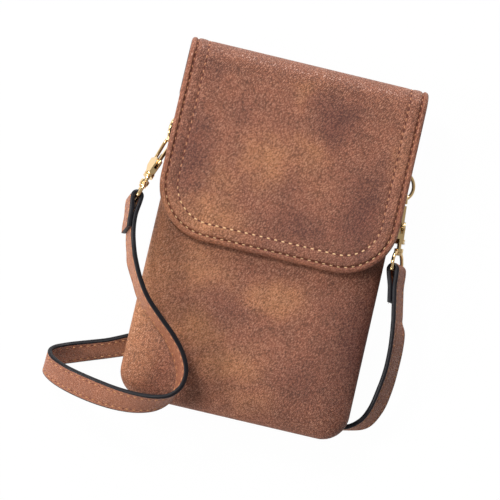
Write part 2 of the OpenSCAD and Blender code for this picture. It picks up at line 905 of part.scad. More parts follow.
// The spare length of the strap, wound up on edge from its middle
module strap_coil() {
    side_step = [
        for (i = [0 : len(coil_path) - 1])
            let (
                h = i == 0 ? -coil_heading(coil_left_deg)
                    : i == len(coil_path) - 1 ? coil_heading(coil_right_deg)
                    : heading(coil_path, i)
            ) [-h[1], h[0]] * strap_t / 2
    ];
    color(leather_light)
        linear_extrude(strap_w)
            polygon(concat(
                [for (i = [0 : len(coil_path) - 1]) coil_path[i] + side_step[i]],
                [for (i = [len(coil_path) - 1 : -1 : 0]) coil_path[i] - side_step[i]]
            ));
}

back_panel();
front_panel();
back_padding();
front_padding();
back_lining();
front_lining();
back_facing();
front_facing();
flap_tail();
flap_fold_back();
flap_top_strip();
flap_fold_front();
flap_outer();
flap_board();
flap_lining();
snap_stud();
snap_stud_washer();
snap_magnet();
snap_magnet_washer();
left_ring_tab();
right_ring_tab();
left_ring();
right_ring();
left_claw();
right_claw();
left_gate();
right_gate();
left_gate_pin();
right_gate_pin();
left_gate_spring();
right_gate_spring();
left_eye();
right_eye();
left_strap_end();
right_strap_end();
left_strap_run();
right_strap_run();
strap_coil();
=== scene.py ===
"""Looks of a slim leather phone pouch: a domed two-shell body, a stitched flap that folds over its
mouth, two snap clasps on side rings and one narrow strap with painted edges."""

import math

import bmesh
import bpy
import numpy as np
from bpy.props import FloatProperty, FloatVectorProperty, IntProperty, PointerProperty
from bpy.types import Operator, Panel, PropertyGroup
from mathutils import Matrix, Vector


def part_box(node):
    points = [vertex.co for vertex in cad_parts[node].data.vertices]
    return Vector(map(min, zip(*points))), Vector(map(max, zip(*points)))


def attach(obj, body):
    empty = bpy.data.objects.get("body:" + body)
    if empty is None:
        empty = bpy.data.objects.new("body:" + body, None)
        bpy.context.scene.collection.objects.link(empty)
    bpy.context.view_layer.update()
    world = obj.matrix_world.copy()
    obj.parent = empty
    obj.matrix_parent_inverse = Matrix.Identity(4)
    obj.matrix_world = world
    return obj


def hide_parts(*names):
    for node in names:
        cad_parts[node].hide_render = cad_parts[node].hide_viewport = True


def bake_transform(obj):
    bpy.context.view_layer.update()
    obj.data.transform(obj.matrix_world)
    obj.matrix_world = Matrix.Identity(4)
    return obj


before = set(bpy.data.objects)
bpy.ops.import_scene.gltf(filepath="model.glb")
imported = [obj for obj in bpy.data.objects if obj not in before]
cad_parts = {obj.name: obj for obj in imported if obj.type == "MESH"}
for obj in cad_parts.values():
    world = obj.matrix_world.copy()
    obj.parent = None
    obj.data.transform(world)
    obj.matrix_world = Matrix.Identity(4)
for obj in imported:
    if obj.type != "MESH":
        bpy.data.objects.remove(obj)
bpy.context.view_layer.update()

bl_info = {
    "name": "Leather Phone Pouch",
    "version": (1, 0, 0),
    "blender": (4, 5, 0),
    "location": "View3D > Sidebar > Pouch",
    "description": "Dresses the packed phone pouch with leather, stitching, strap and metal",
    "category": "Object",
}

FRONT_LOW, FRONT_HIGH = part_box("front_panel")
FLAP_LOW, FLAP_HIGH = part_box("flap_outer")
TAIL_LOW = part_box("flap_tail")[0]
STRIP_LOW, STRIP_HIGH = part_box("flap_top_strip")

# Air left between two layers that lie on each other
AIR = 0.00005
# Distance within which corners are merged
MERGE_WITHIN = 0.000002
# Degrees from which an edge of the strap, of the body and of the flap stays sharp
STRAP_CREASE, BODY_CREASE, FLAP_CREASE = 50.0, 70.0, 60.0


# Sizes and colours that a user would change


def length(name, text, default, low=0.0, high=0.2):
    """A length in metres that a user can change."""
    return FloatProperty(
        name=name, description=text, default=default, min=low, max=high, unit="LENGTH", precision=5
    )


def colour(name, text, red, green, blue):
    """A colour written as 0 to 255 in sRGB and kept as linear light."""
    shares = [c / 255 for c in (red, green, blue)]
    linear = [c / 12.92 if c <= 0.04045 else ((c + 0.055) / 1.055) ** 2.4 for c in shares]
    return FloatVectorProperty(
        name=name, description=text, default=linear + [1.0], size=4, min=0, max=1, subtype="COLOR"
    )


class PouchShellSizes(PropertyGroup):
    front_dome: length("Front dome", "How far in from the side the front panel is rounded", 0.034)
    back_dome: length("Back dome", "How far in from the side the back panel is rounded", 0.017)
    wall: length("Wall", "Thickness of a panel's leather", 0.0014)
    foam: length("Foam", "Thickness of the padding behind the leather", 0.0012)
    foam_margin: length("Foam margin", "How far the padding stops short of the seam", 0.0135)
    cloth: length("Cloth", "Thickness of the lining", 0.0006)
    facing: length("Facing", "Thickness of the leather facing inside the mouth", 0.001)
    seam: length("Seam", "Depth of the line where the panels meet", 0.0003)
    waves: length("Waves", "Height of the soft unevenness of the leather", 0.00022)
    corner: length("Corner", "Radius of the lower corners", 0.014)


class PouchFlapSizes(PropertyGroup):
    corner: length("Corner", "Radius of the flap's lower corners", 0.029)
    tail_corner: length("Tail corner", "Radius of the corners of the flap's sewn tail", 0.006)
    rim: length("Rim", "Width of the turned rim outside the first stitch row", 0.0031)
    rim_rise: length("Rim rise", "How far the turned rim stands up", 0.0002)
    groove: length("Groove", "Depth of the groove that holds the first stitch row", 0.0008)
    groove_width: length("Groove width", "Width of the line of painted shade in the groove", 0.0013)
    # The groove's line is darkened as painted shade
    second_row: length("Second row", "Distance of the second stitch row from the edge", 0.0092)
    second_dip: length("Second dip", "Depth of the valley under the second row", 0.0003)
    puff: length("Puff", "How far the band between the rows stands up", 0.00022)


class PouchStitchSizes(PropertyGroup):
    pitch: length("Pitch", "Distance from one stitch to the next", 0.0038)
    thread: length("Thread", "Radius of the thread", 0.00036)
    seen: length("Seen", "Length of thread seen between two holes", 0.0019)
    # The dent between stitches is painted dark as the shade of a needle hole
    hole: length("Hole", "Length of the dent, painted dark as hole shade, between two stitches", 0.0021)
    strap_pitch: length("Strap pitch", "Distance between stitches on the strap", 0.0036)
    strap_row: length("Strap row", "Distance of a strap's stitch row from its edge", 0.0024)


class PouchStrapSizes(PropertyGroup):
    rounding: length("Rounding", "Radius of the strap's painted edges", 0.0008)
    row_dip: length("Row dip", "Depth of the dent under a stitch row", 0.00018)
    curve_steps: IntProperty(
        name="Curve steps", description="Steps between two places of the strap's way",
        default=9, min=3, max=20,
    )


class PouchColours(PropertyGroup):
    brown: colour("Brown", "Ground colour of the pouch's leather", 140, 81, 56)
    # The golden and shade tones give the leather's own patches and also painted sheen and painted shade
    golden: colour("Golden", "Lighter patches of the leather, rubbed tone and painted sheen", 180, 117, 75)
    shade: colour("Shade", "Darker patches of the leather, smoky tone and painted shade", 100, 49, 35)
    # Painted highlight: the colour that the grain's tops are blended towards, in place of the lamps' sheen
    # on them
    highlight_colour: colour("Painted highlight", "Painted highlight on the tops of the grain", 198, 158, 134)
    strap: colour("Strap", "Ground colour of the strap", 148, 88, 60)
    inside: colour("Inside", "Smooth dark leather inside the flap and on the tabs", 70, 44, 34)
    paint: colour("Edge paint", "Painted edges of the strap", 15, 13, 18)
    thread: colour("Thread", "Sewing thread of the flap", 222, 184, 138)
    # Thread darkened up the flap's sides as painted shade
    shaded_thread: colour("Shaded thread", "Thread up the sides of the flap, darkened as painted shade", 172, 116, 82)
    strap_thread: colour("Strap thread", "Sewing thread of the strap", 184, 130, 86)
    # Painted shade of the needle holes, on the dents between the stitches
    hole: colour("Needle hole", "Painted shade of the dents between the stitches", 84, 36, 22)
    gold: colour("Gold", "Plating of the rings and clasps", 222, 190, 138)
    steel: colour("Steel", "Pins, springs and the snap", 190, 188, 184)
    lining: colour("Lining", "Woven lining cloth", 66, 50, 40)
    foam: colour("Foam", "Thin padding", 206, 200, 186)
    board: colour("Board", "Stiffening board", 180, 166, 138)


# Surfaces


def patch(points, slot=0):
    """A grid of points, rows by columns, as corners and four-sided faces. The slot is one number
    for the whole grid, or one for each face."""
    rows, columns = points.shape[:2]
    i = np.arange(rows * columns).reshape(rows, columns)
    faces = np.stack([i[:-1, :-1], i[1:, :-1], i[1:, 1:], i[:-1, 1:]], axis=-1).reshape(-1, 4)
    return points.reshape(-1, 3), faces, np.broadcast_to(slot, (rows - 1, columns - 1)).reshape(-1)


def copies(shape, places, along, across, up, slot):
    """A small grid set down at many places at once: each corner is the place plus the shape's
    three numbers times the place's three directions."""
    corners = (
        places[:, None, None]
        + shape[None, ..., 0:1] * along[:, None, None]
        + shape[None, ..., 1:2] * across[:, None, None]
        + shape[None, ..., 2:3] * up[:, None, None]
    )
    _, faces, _ = patch(shape)
    each = shape.shape[0] * shape.shape[1]
    faces = faces[None] + (np.arange(len(places)) * each)[:, None, None]
    return corners.reshape(-1, 3), faces.reshape(-1, 4), np.full(faces.shape[0] * faces.shape[1], slot)


def make_piece(name, patches, materials, crease=STRAP_CREASE):
    """One mesh from patches: shared borders merged, faces outwards, smooth but for edges sharper
    than the crease angle."""
    corners, faces, slots, at = [], [], [], 0
    for spots, sides, numbers in patches:
        corners.append(spots)
        faces.append(sides + at)
        slots.append(numbers)
        at += len(spots)
    mesh = bpy.data.meshes.new(name)
    mesh.from_pydata(np.concatenate(corners).tolist(), [], np.concatenate(faces).tolist())
    mesh.polygons.foreach_set("material_index", np.concatenate(slots).astype(np.int32))
    for material in materials:
        mesh.materials.append(material)
    shape = bmesh.new()
    shape.from_mesh(mesh)
    bmesh.ops.remove_doubles(shape, verts=shape.verts, dist=MERGE_WITHIN)
    bmesh.ops.recalc_face_normals(shape, faces=shape.faces)
    limit = math.radians(crease)
    for edge in shape.edges:
        edge.smooth = len(edge.link_faces) == 2 and edge.calc_face_angle(0) < limit
    for face in shape.faces:
        face.smooth = True
    shape.to_mesh(mesh)
    shape.free()
    piece = bpy.data.objects.new(name, mesh)
    bpy.context.scene.collection.objects.link(piece)
    return piece


def unit(v):
    """Each vector divided by its own length."""
    return v / np.linalg.norm(v, axis=-1, keepdims=True)


# Long waves of a worn sheet: share of the height, turns along x and y in radians to a metre, shift
LONG_WAVES = ((0.4, 62, 95, 0.4), (0.3, -110, 74, 1.9), (0.2, 150, -88, 4.0), (0.1, 60, 210, 2.2))


def wave_field(x, y, height):
    """Soft unevenness of a hand-worn sheet: the sum of four long slanted sine waves."""
    total = np.zeros_like(x)
    for share, kx, ky, shift in LONG_WAVES:
        total = total + share * np.sin(kx * x + ky * y + shift)
    return height * total


def level_lines(depths, half_w, top, low, corner, least, steps):
    """Lines at given depths inside a U-shaped outline with an open top: straight sides, round
    corners that shrink with the depth down to the least radius, and a straight base, each with its
    own number of steps. Returns x and y, one row for each depth, from the top of the left side
    round to the top of the right side."""
    n_side, n_arc, n_base = steps
    d = np.asarray(depths, float)[:, None]
    w = half_w - d
    r = np.minimum(np.maximum(corner - d, least), w)
    base = low + d
    t = np.linspace(0, 1, n_side, endpoint=False)[None]
    side_x, side_y = -w + 0 * t, top + (base + r - top) * t
    a = np.linspace(0, math.pi / 2, n_arc, endpoint=False)[None]
    arc_x, arc_y = -w + r - r * np.cos(a), base + r - r * np.sin(a)
    t = np.linspace(0, 1, n_base + 1)[None]
    base_x, base_y = (-w + r) * (1 - t), base + 0 * t
    x = np.concatenate([side_x, arc_x, base_x], axis=1)
    y = np.concatenate([side_y, arc_y, base_y], axis=1)
    return np.hstack([x, -x[:, -2::-1]]), np.hstack([y, y[:, -2::-1]])


# The body's two shells

# Powers that round a panel over: the first holds it level for longer, the second makes its side
# steeper
DOME_LEVEL, DOME_STEEP = 2.4, 2.2
# Shares of the reach at which a dome is drawn, closer together near the seam
DOME_SHARES = np.linspace(0, 1, 30) ** 2.2
# Height over the seam within which its line fades out
SEAM_FADE = 0.0006
# Smallest radius of a level line's corner, and the steps along its side, corner and base
SHELL_LEAST_R, SHELL_STEPS = 0.004, (46, 12, 14)


def dome(depth, reach):
    """Share of the full height at a depth from the side: one less the nearness to the side to one
    power, and the root of that by another. It starts upright at the seam, rounds over and is level
    from the reach inwards."""
    near = np.clip(1 - depth / reach, 0, 1)
    return (1 - near**DOME_LEVEL) ** (1 / DOME_STEEP)


def shell_patches(sizes, reach, sign, set_in, wall, margin, top):
    """Outer wall, inner wall, mouth and side faces of one layer of half the body. Height above the
    seam is the dome times half the body's thickness, both less how far the layer is set in, and
    turned down where sign is -1. A layer with a margin starts that far in from the seam."""
    half_w, low = FRONT_HIGH.x, FRONT_LOW.y
    seam_z, half_t = FRONT_LOW.z, FRONT_HIGH.z - FRONT_LOW.z
    level_part = np.linspace(reach, half_w, 8)[1:]
    walls = []
    for inset in (set_in, set_in + wall):
        start = max(inset, margin)
        plan = np.concatenate([start + (reach - start) * DOME_SHARES, level_part])
        height = (half_t - inset) * dome(plan - inset, reach - inset)
        skin = inset == 0
        edge = plan + (sizes.seam * np.exp(-height / SEAM_FADE) if skin else 0)
        x, y = level_lines(edge, half_w, top, low, sizes.corner, SHELL_LEAST_R, SHELL_STEPS)
        z = height[:, None] + 0 * x
        if skin:
            z = z + (wave_field(x, y, sizes.waves) - sizes.waves) * dome(plan, 2 * reach)[:, None]
        walls.append(np.stack([x, y, seam_z + sign * z], axis=-1))
    outer, inner = walls
    edges = [np.stack([outer[0], inner[0]])] + [np.stack([outer[:, k], inner[:, k]]) for k in (0, -1)]
    return [patch(outer), patch(inner, 1)] + [patch(edge) for edge in edges]


def strip_patches(reach, sign, inset, thick, low, high):
    """A strip across the body, between two heights on it, that follows the dome from inside: its
    two faces, its two long edges and its two ends."""
    half_w = FRONT_HIGH.x
    seam_z, half_t = FRONT_LOW.z, FRONT_HIGH.z - FRONT_LOW.z
    faces = []
    level_part = np.linspace(reach, half_w, 6)[1:]
    for i in (inset, inset + thick):
        plan = np.concatenate([i + (reach - i) * DOME_SHARES, level_part])
        z = seam_z + sign * (half_t - i) * dome(plan - i, reach - i)
        x = np.concatenate([plan - half_w, (half_w - plan)[-2::-1]])
        line = np.stack([x, 0 * x, np.concatenate([z, z[-2::-1]])], axis=-1)
        faces.append(np.stack([line + [0, y, 0] for y in (low, (low + high) / 2, high)]))
    outer, inner = faces
    edges = [np.stack([outer[k], inner[k]]) for k in (0, -1)]
    edges += [np.stack([outer[:, k], inner[:, k]]) for k in (0, -1)]
    return [patch(outer), patch(inner)] + [patch(edge) for edge in edges]


# The flap

# Depths in millimetres from the flap's edge at which its faces are drawn, closer together at the
# groove and at the second row
FLAP_DEPTHS = (
    1.7, 2.0, 2.3, 2.55, 2.8, 2.95, 3.1, 3.25, 3.4, 3.65, 4.0, 4.5, 5.2, 6.0, 6.8, 7.6, 8.2, 8.6,
    8.9, 9.2, 9.5, 9.8, 10.2, 10.9, 12, 14, 17, 20, 24, 28, 33, 38, 43, 48, 53.7, 58,
)
# Heights in millimetres over the tail's lower end at which it is drawn
TAIL_HEIGHTS = (
    0, 0.04, 0.15, 0.35, 0.65, 1.0, 1.4, 1.8, 2.3, 2.8, 3.1, 3.4, 4, 5, 6, 8, 9.2, 10.5, 14, 18,
)
# Where the rim stands highest, as a share of its width, and the half widths of the bell-shaped
# curves of the rim, the groove and the second row's valley
RIM_TOP_SHARE, RIM_BELL, GROOVE_BELL, ROW_BELL = 0.62, 0.0008, 0.0005, 0.0009
# Depth of the puffed band's middle and the half width of its curve
PUFF_AT, PUFF_BELL = 0.0058, 0.0018
# Unevenness of the flap's front: its height, its shift along x from the body's, and where it
# begins, over how much depth it grows and over how much height it fades towards the fold
FLAP_WAVES, WAVE_SHIFT, WAVES_FROM, WAVES_GROW, WAVES_FADE = 0.00022, 0.03, 0.010, 0.02, 0.015
# Width of the edge inside, and how high over the middle plane the inner face lies beyond it, which
# leaves the board and the lining their room
INNER_EDGE, INNER_RAISE = 0.003, 0.0001
# Smallest radius of a line's corner, and the steps along its side, corner and base
FLAP_LEAST_R, FLAP_STEPS, ROW_STEPS = 0.009, (44, 16, 20), (60, 30, 30)


def bell(distance, half_width):
    """A smooth bump, 1 in its middle: e to the minus square of the distance in half widths."""
    return np.exp(-((distance / half_width) ** 2))


class FlapShape:
    """Where the flap is: half its thickness, its middle planes and the arcs of its fold."""

    def __init__(self, sizes):
        self.sizes = sizes
        self.half_t = (FLAP_HIGH.z - FLAP_LOW.z) / 2
        self.half_w = FLAP_HIGH.x
        self.front_z = (FLAP_HIGH.z + FLAP_LOW.z) / 2
        self.tail_z = TAIL_LOW.z + self.half_t
        self.fold_y = FLAP_HIGH.y
        self.low_y = FLAP_LOW.y
        self.tail_y = TAIL_LOW.y
        self.arc_r = STRIP_HIGH.y - self.fold_y - self.half_t
        self.back_c, self.front_c = STRIP_LOW.z, STRIP_HIGH.z
        self.split_z = (self.back_c + self.front_c) / 2

    def depths(self):
        """Depths from the edge: even steps of angle round the edge, then the list above."""
        edge = self.half_t * (1 - np.cos(np.linspace(0, math.pi / 2, 7)))
        return np.concatenate([edge, np.array(FLAP_DEPTHS) / 1000, [self.half_w]])

    def outer(self, d):
        """Height of the outer face over the middle plane: a half round at the edge, a raised rim,
        a groove, a puffed band, a valley under the second row, then level."""
        s = self.sizes
        near = np.clip(self.half_t - d, 0, self.half_t)
        h = np.sqrt(np.maximum(self.half_t**2 - near**2, 0))
        h = h + s.rim_rise * bell(d - RIM_TOP_SHARE * s.rim, RIM_BELL)
        h = h - s.groove * bell(d - s.rim, GROOVE_BELL)
        h = h + s.puff * bell(d - PUFF_AT, PUFF_BELL)
        return h - s.second_dip * bell(d - s.second_row, ROW_BELL)

    def inner(self, d):
        """The same for the inner face, under the middle plane: a half round, then level."""
        near = np.clip(self.half_t - d, 0, self.half_t)
        return -np.sqrt(np.maximum(self.half_t**2 - near**2, 0))

    def fold(self, start, end, steps):
        """The middle line of the fold as y, z and its outward direction, by distance: the back
        quarter bend, the straight strip and the front quarter bend. The direction turns by the
        distance over the radius along each bend, and keeps still along the strip."""
        bend = self.arc_r * math.pi / 2
        strip = self.front_c - self.back_c
        s = np.linspace(0, 1, steps) * (end - start) + start
        first = np.clip(s / self.arc_r - math.pi / 2, -math.pi / 2, 0)
        last = np.clip((s - bend - strip) / self.arc_r, 0, math.pi / 2)
        angle = first + last
        z = self.back_c + np.clip(s - bend, 0, strip)
        out = np.stack([np.cos(angle), np.sin(angle)], axis=-1)
        return self.fold_y + self.arc_r * out[:, 0], z + self.arc_r * out[:, 1], out

    def line_slots(self, depths):
        """Material slot of each face by the depth of its middle: 5 on the rolled rim, painted paler as a
        highlight, 4 in the groove's line of painted shade, else 0."""
        past = depths - self.sizes.rim
        half = self.sizes.groove_width / 2
        return np.where(np.abs(past) < half, 4, np.where(past < 0, 5, 0))

    def swept(self, line, depths, height):
        """A face of the sheet carried along the fold: columns at the given depths from both sides,
        each raised by its height along the outward direction."""
        y, z, out = line
        columns = np.concatenate([-(self.half_w - depths), (self.half_w - depths)[-2::-1]])
        h = np.concatenate([height, height[-2::-1]])
        grid = np.empty((len(y), len(columns), 3))
        grid[..., 0] = columns[None]
        grid[..., 1] = y[:, None] + out[:, None, 0] * h[None]
        grid[..., 2] = z[:, None] + out[:, None, 1] * h[None]
        return grid

    def lines(self, depths, steps):
        """Lines at given depths inside the front's outline."""
        corner = self.sizes.corner
        return level_lines(depths, self.half_w, self.fold_y, self.low_y, corner, FLAP_LEAST_R, steps)

    def front(self, depths, is_outer):
        """A face of the front piece: each line inside its outline at the height for its depth."""
        x, y = self.lines(depths, FLAP_STEPS)
        if is_outer:
            grown = np.clip((depths - WAVES_FROM) / WAVES_GROW, 0, 1)[:, None]
            fade = grown * np.clip((self.fold_y - y) / WAVES_FADE, 0, 1)
            z = self.outer(depths)[:, None] + wave_field(x + WAVE_SHIFT, y, FLAP_WAVES) * fade
        else:
            z = self.inner(depths)[:, None] + 0 * x
            z[depths > INNER_EDGE, 1:-1] = INNER_RAISE
        return np.stack([x, y, self.front_z + z], axis=-1)

    def tail(self, depths, is_outer):
        """The sewn tail: rows from its end to the fold, each as wide as the rounded outline there,
        with the height taken from the distance to the nearest edge."""
        r = self.sizes.tail_corner
        y = np.concatenate([self.tail_y + np.array(TAIL_HEIGHTS) / 1000, [self.fold_y]])
        short = np.clip(r - (y - self.tail_y), 0, r)
        w = self.half_w - (r - np.sqrt(r * r - short * short))
        share = 1 - depths / self.half_w
        columns = np.concatenate([-share, share[-2::-1]])
        x = w[:, None] * columns[None]
        yy = y[:, None] + 0 * x
        side, end = self.half_w - np.abs(x), yy - self.tail_y
        inside = r - np.hypot(np.maximum(r - side, 0), np.maximum(r - end, 0))
        d = np.where((side < r) & (end < r), inside, np.minimum(side, end))
        d = np.maximum(d, 0)
        d[-1] = np.concatenate([depths, depths[-2::-1]])
        h = self.outer(d) if is_outer else self.inner(d)
        slots = self.line_slots((d[1:, 1:] + d[:-1, :-1]) / 2)
        return np.stack([x, yy, self.tail_z - h], axis=-1), slots if is_outer else 1

    def row(self, depth):
        """One stitch row at its depth: up the left of the tail, over the fold, round the front and
        back again. Returns places and outward directions."""
        h = float(self.outer(np.array([depth]))[0])
        whole = self.arc_r * math.pi + self.front_c - self.back_c
        y, z, out = self.fold(0, whole, 60)
        tail = np.linspace(self.tail_y + depth, self.fold_y, 20, endpoint=False)
        y = np.concatenate([tail, y])
        z = np.concatenate([np.full(len(tail), self.tail_z), z])
        out = np.concatenate([np.tile([0.0, -1.0], (len(tail), 1)), out])
        up = np.stack([0 * y, out[:, 0], out[:, 1]], axis=-1)
        side = np.stack([np.full(len(y), -(self.half_w - depth)), y, z], axis=-1) + up * h
        x, yy = self.lines([depth], ROW_STEPS)
        face = np.stack([x[0], yy[0], np.full(x.shape[1], self.front_z + h)], axis=-1)[1:-1]
        face_up = np.tile([0.0, 0.0, 1.0], (len(face), 1))
        other = side * [-1, 1, 1]
        places = np.concatenate([side, face, other[::-1]])
        ups = np.concatenate([up, face_up, up[::-1]])
        return places, ups


# How high the thread lies over the leather, and the width and height of the dent between stitches
FLAP_LIFT, FLAP_DENT = 0.00005, (0.0012, 0.00014)
STRAP_LIFT, STRAP_DENT = 0.00006, (0.0006, 0.00009)
# Share of the flap's thread and dent that the strap's have
STRAP_SEWING_SHARE = 0.8
# Places of the first stitch and of the first dent along a row, in pitches
STITCH_AT, DENT_AT = 0.5, 0.999
# How deep a stitch's ends dive, in radii of its thread
STITCH_DIVE = 1.6
# How far before and after a place a line's direction is taken
LOOK_AROUND = 0.0002


def thread_shape(length_, radius, lift, n_along=9, n_around=6):
    """One seen stitch: a round thread that narrows with the fourth power of the way from its
    middle, and dives into the leather at both ends."""
    a = np.linspace(-1, 1, n_along)[:, None]
    b = np.linspace(0, 2 * math.pi, n_around + 1)[None]
    r = radius * np.sqrt(np.maximum(1 - a**4, 0))
    rise = lift - STITCH_DIVE * radius * a**4
    return np.stack([a * length_ / 2 + 0 * b, r * np.cos(b), rise + r * np.sin(b)], axis=-1)


def dent_shape(length_, width, height, n_along=6, n_around=6):
    """The dent between two stitches, as a very flat ball with three radii, which its dark material makes
    the painted shade of a needle hole.
    """
    a = np.linspace(-1, 1, n_along)[:, None]
    b = np.linspace(0, 2 * math.pi, n_around + 1)[None]
    r = np.sqrt(np.maximum(1 - a * a, 0))
    return np.stack([a * length_ / 2 + 0 * b, r * width / 2 * np.cos(b), r * height * np.sin(b)], axis=-1)


def spaced(places, ups, pitch, offset):
    """Places a pitch apart along a line, with the line's direction and outward direction there."""
    step = np.linalg.norm(np.diff(places, axis=0), axis=1)
    run = np.concatenate([[0], np.cumsum(step)])
    count = max(int(run[-1] / pitch), 1)
    at = (np.arange(count) + offset) * run[-1] / count
    here = np.stack([np.interp(at, run, places[:, k]) for k in range(3)], axis=-1)
    ahead = np.stack([np.interp(at + LOOK_AROUND, run, places[:, k]) for k in range(3)], axis=-1)
    behind = np.stack([np.interp(at - LOOK_AROUND, run, places[:, k]) for k in range(3)], axis=-1)
    up = np.stack([np.interp(at, run, ups[:, k]) for k in range(3)], axis=-1)
    along = unit(ahead - behind)
    up = unit(up - np.sum(up * along, axis=-1, keepdims=True) * along)
    return here, along, np.cross(up, along), up


# The strap

# Sizes of the part that the strap's way depends on, as in its own source
STRAP_W, STRAP_T = 0.014, 0.0024
# Half the body's width, half the pouch's height and the body's thickness
BODY_HALF, POUCH_HALF, BODY_T = 0.060, 0.0935, 0.018
# Gaps between the wound strap and the body, and between the strap's turns
SEAT_GAP, COIL_GAP = 0.0003, 0.0006
# Heights of the body's back, which lies just over the wound strap, and of its seam
BACK_Z = STRAP_W + SEAT_GAP
SEAM_Z = BACK_Z + BODY_T / 2
# Place of the right ring's bar, and the radius of its bow
RING_X, RING_Y, RING_R = 0.0606, 0.0435, 0.0068
# For the left and the right, in degrees: how the ring is tilted, where the claw sits on it, how
# the clasp leans out and rises, how the eye is turned and how the strap leaves the bar
RING_TILT, CONTACT = (-67, 30), (36, 25)
CLASP_LEAN, CLASP_RISE, EYE_TURN, END_LEAN = (17, 6), (14, 0), (4, 24), (-17, 5)
# How far the clasp's origin is from the middle of the ring's wire, and the eye's bar from there
HOLD, BAR = 0.00235, 0.039585
# Radius of the bar, length of a strap end, and how far its folded layer reaches
BAR_R, END_L, FOLD_L = 0.0009, 0.024, 0.017
# Which layer of the left and the right strap end runs on
LAYER = (-1, 1)
# Where the two layers of a strap end come together, as a distance from the bar
JOIN_L = 0.6 * FOLD_L
# Straight stretch at either end of a run, and how far each strap end is bent inward at its foot
LEAD, CURL = 0.4 * STRAP_W, (0.002, 0.0)
# The coil's inner bend, its pitch and turns, and the directions that its arms leave in, in degrees
COIL_BEND, COIL_PITCH = 0.007, STRAP_T + COIL_GAP
COIL_TURNS, COIL_OUT = 2.5, (170, 225)
# The strap's way, as given: shares of half the body's width, of half the pouch's height and of the levels
# under, in and over the pouch, and the direction of its width in plain steps
LEFT_WAY = (
    (-1.112, -0.303, 2.544), (-1.04, -0.391, 2.559), (-0.945, -0.486, 2.552), (-0.807, -0.57, 2.528),
    (-0.668, -0.65, 2.494), (-0.557, -0.735, 2.464), (-0.493, -0.823, 2.453), (-0.49, -0.907, 2.47),
    (-0.548, -0.976, 2.498), (-0.662, -1.02, 2.503), (-0.816, -1.04, 2.454), (-0.991, -1.041, 2.338),
    (-1.169, -1.028, 2.162), (-1.336, -1.007, 1.934), (-1.477, -0.981, 1.671), (-1.575, -0.95, 1.396),
    (-1.616, -0.917, 1.131), (-1.591, -0.885, 0.877), (-1.512, -0.858, 0.669), (-1.399, -0.829, 0.56),
    (-1.266, -0.798, 0.54), (-1.124, -0.765, 0.569), (-0.981, -0.725, 0.588), (-0.845, -0.682, 0.548),
    (-0.73, -0.63, 0.5), (-0.66, -0.55, 0.5), (-0.61, -0.44, 0.49),
)
LEFT_ACROSS = (
    (-7, -8, -38), (-7, -5, -39), (-9, -6, -39), (-8, -6, -39), (-9, -6, -39), (-11, -6, -38),
    (-11, -3, -38), (-5, -1, -40), (4, -6, -39), (8, -17, -35), (7, -25, -30), (5, -30, -26),
    (3, -33, -23), (3, -33, -22), (3, -33, -23), (3, -33, -22), (-1, -33, -23), (-3, -30, -26),
    (1, -28, -29), (6, -26, -30), (9, -24, -31), (10, -23, -31), (11, -25, -29), (12, -25, -29),
    (3, -14, -37), (3, -8, -39), (0, -3, -40),
)
RIGHT_WAY = (
    (1.242, -0.336, 1.521), (1.259, -0.43, 1.439), (1.263, -0.541, 1.285), (1.251, -0.657, 1.1),
    (1.22, -0.767, 0.91), (1.146, -0.854, 0.7), (0.999, -0.898, 0.535), (0.808, -0.91, 0.492),
    (0.68, -0.9, 0.49), (0.55, -0.8, 0.49),
)
RIGHT_ACROSS = (
    (21, 6, -34), (21, 9, -33), (21, 9, -33), (23, 7, -32), (22, 2, -33), (16, -4, -36),
    (2, 0, -40), (0, 0, -40), (0, 0, -40), (0, 0, -40),
)


def turn(axis, degrees):
    """The matrix that turns about an axis."""
    return np.array(Matrix.Rotation(math.radians(degrees), 3, axis))


def end_frame(side):
    """The bar's middle and the directions of a strap end, as the part's frames turn them: the
    clasp leans out and rises, the eye turns about it, and the strap turns about the bar."""
    flip = np.diag([-1.0 if side == 0 else 1.0, 1.0, 1.0])
    clasp = turn("Z", CLASP_LEAN[side]) @ turn("X", -CLASP_RISE[side])
    seat = np.array([RING_X, RING_Y, SEAM_Z])
    a = math.radians(CONTACT[side])
    seat = seat + turn("Y", RING_TILT[side]) @ [RING_R * math.sin(a), -RING_R * math.cos(a), 0]
    seat = seat + clasp @ [0, HOLD, 0]
    bar = flip @ (seat + clasp @ [0, -BAR, 0])
    return bar, flip @ clasp @ turn("Y", -EYE_TURN[side]) @ turn("Z", END_LEAN[side])


def level(share):
    """A height from its share: up to 1 under the pouch, then from its back to its front."""
    return share * BACK_Z if share < 1 else BACK_Z + (share - 1) * BODY_T


def coil_arm(start, turns, steps_per_turn=60):
    """Half a turn about a point beside the middle, then a spiral whose radius grows by two pitches
    a turn."""
    a = np.radians(np.linspace(180, 360, steps_per_turn // 2, endpoint=False) + start)
    s = math.radians(start)
    bend = COIL_BEND * np.stack([math.cos(s) + np.cos(a), math.sin(s) + np.sin(a)], axis=-1)
    t = np.linspace(0, turns, int(turns * steps_per_turn) + 1)
    w = s + 2 * math.pi * t
    r = 2 * COIL_BEND + 2 * COIL_PITCH * t
    return np.concatenate([bend, np.stack([r * np.cos(w), r * np.sin(w)], axis=-1)])


def coil_arms():
    """The left and the right arm, half a turn apart, each as long as its way out asks."""
    start = COIL_OUT[0] - 360 * COIL_TURNS
    right_turns = COIL_TURNS - (COIL_OUT[0] + 180 - COIL_OUT[1]) / 360
    return coil_arm(start, COIL_TURNS), coil_arm(start + 180, right_turns)


# Distances along a free run, from the strap end, at which it is cut into lengths that bend
BEND_CUTS = (0.006, 0.012, 0.022, 0.036)


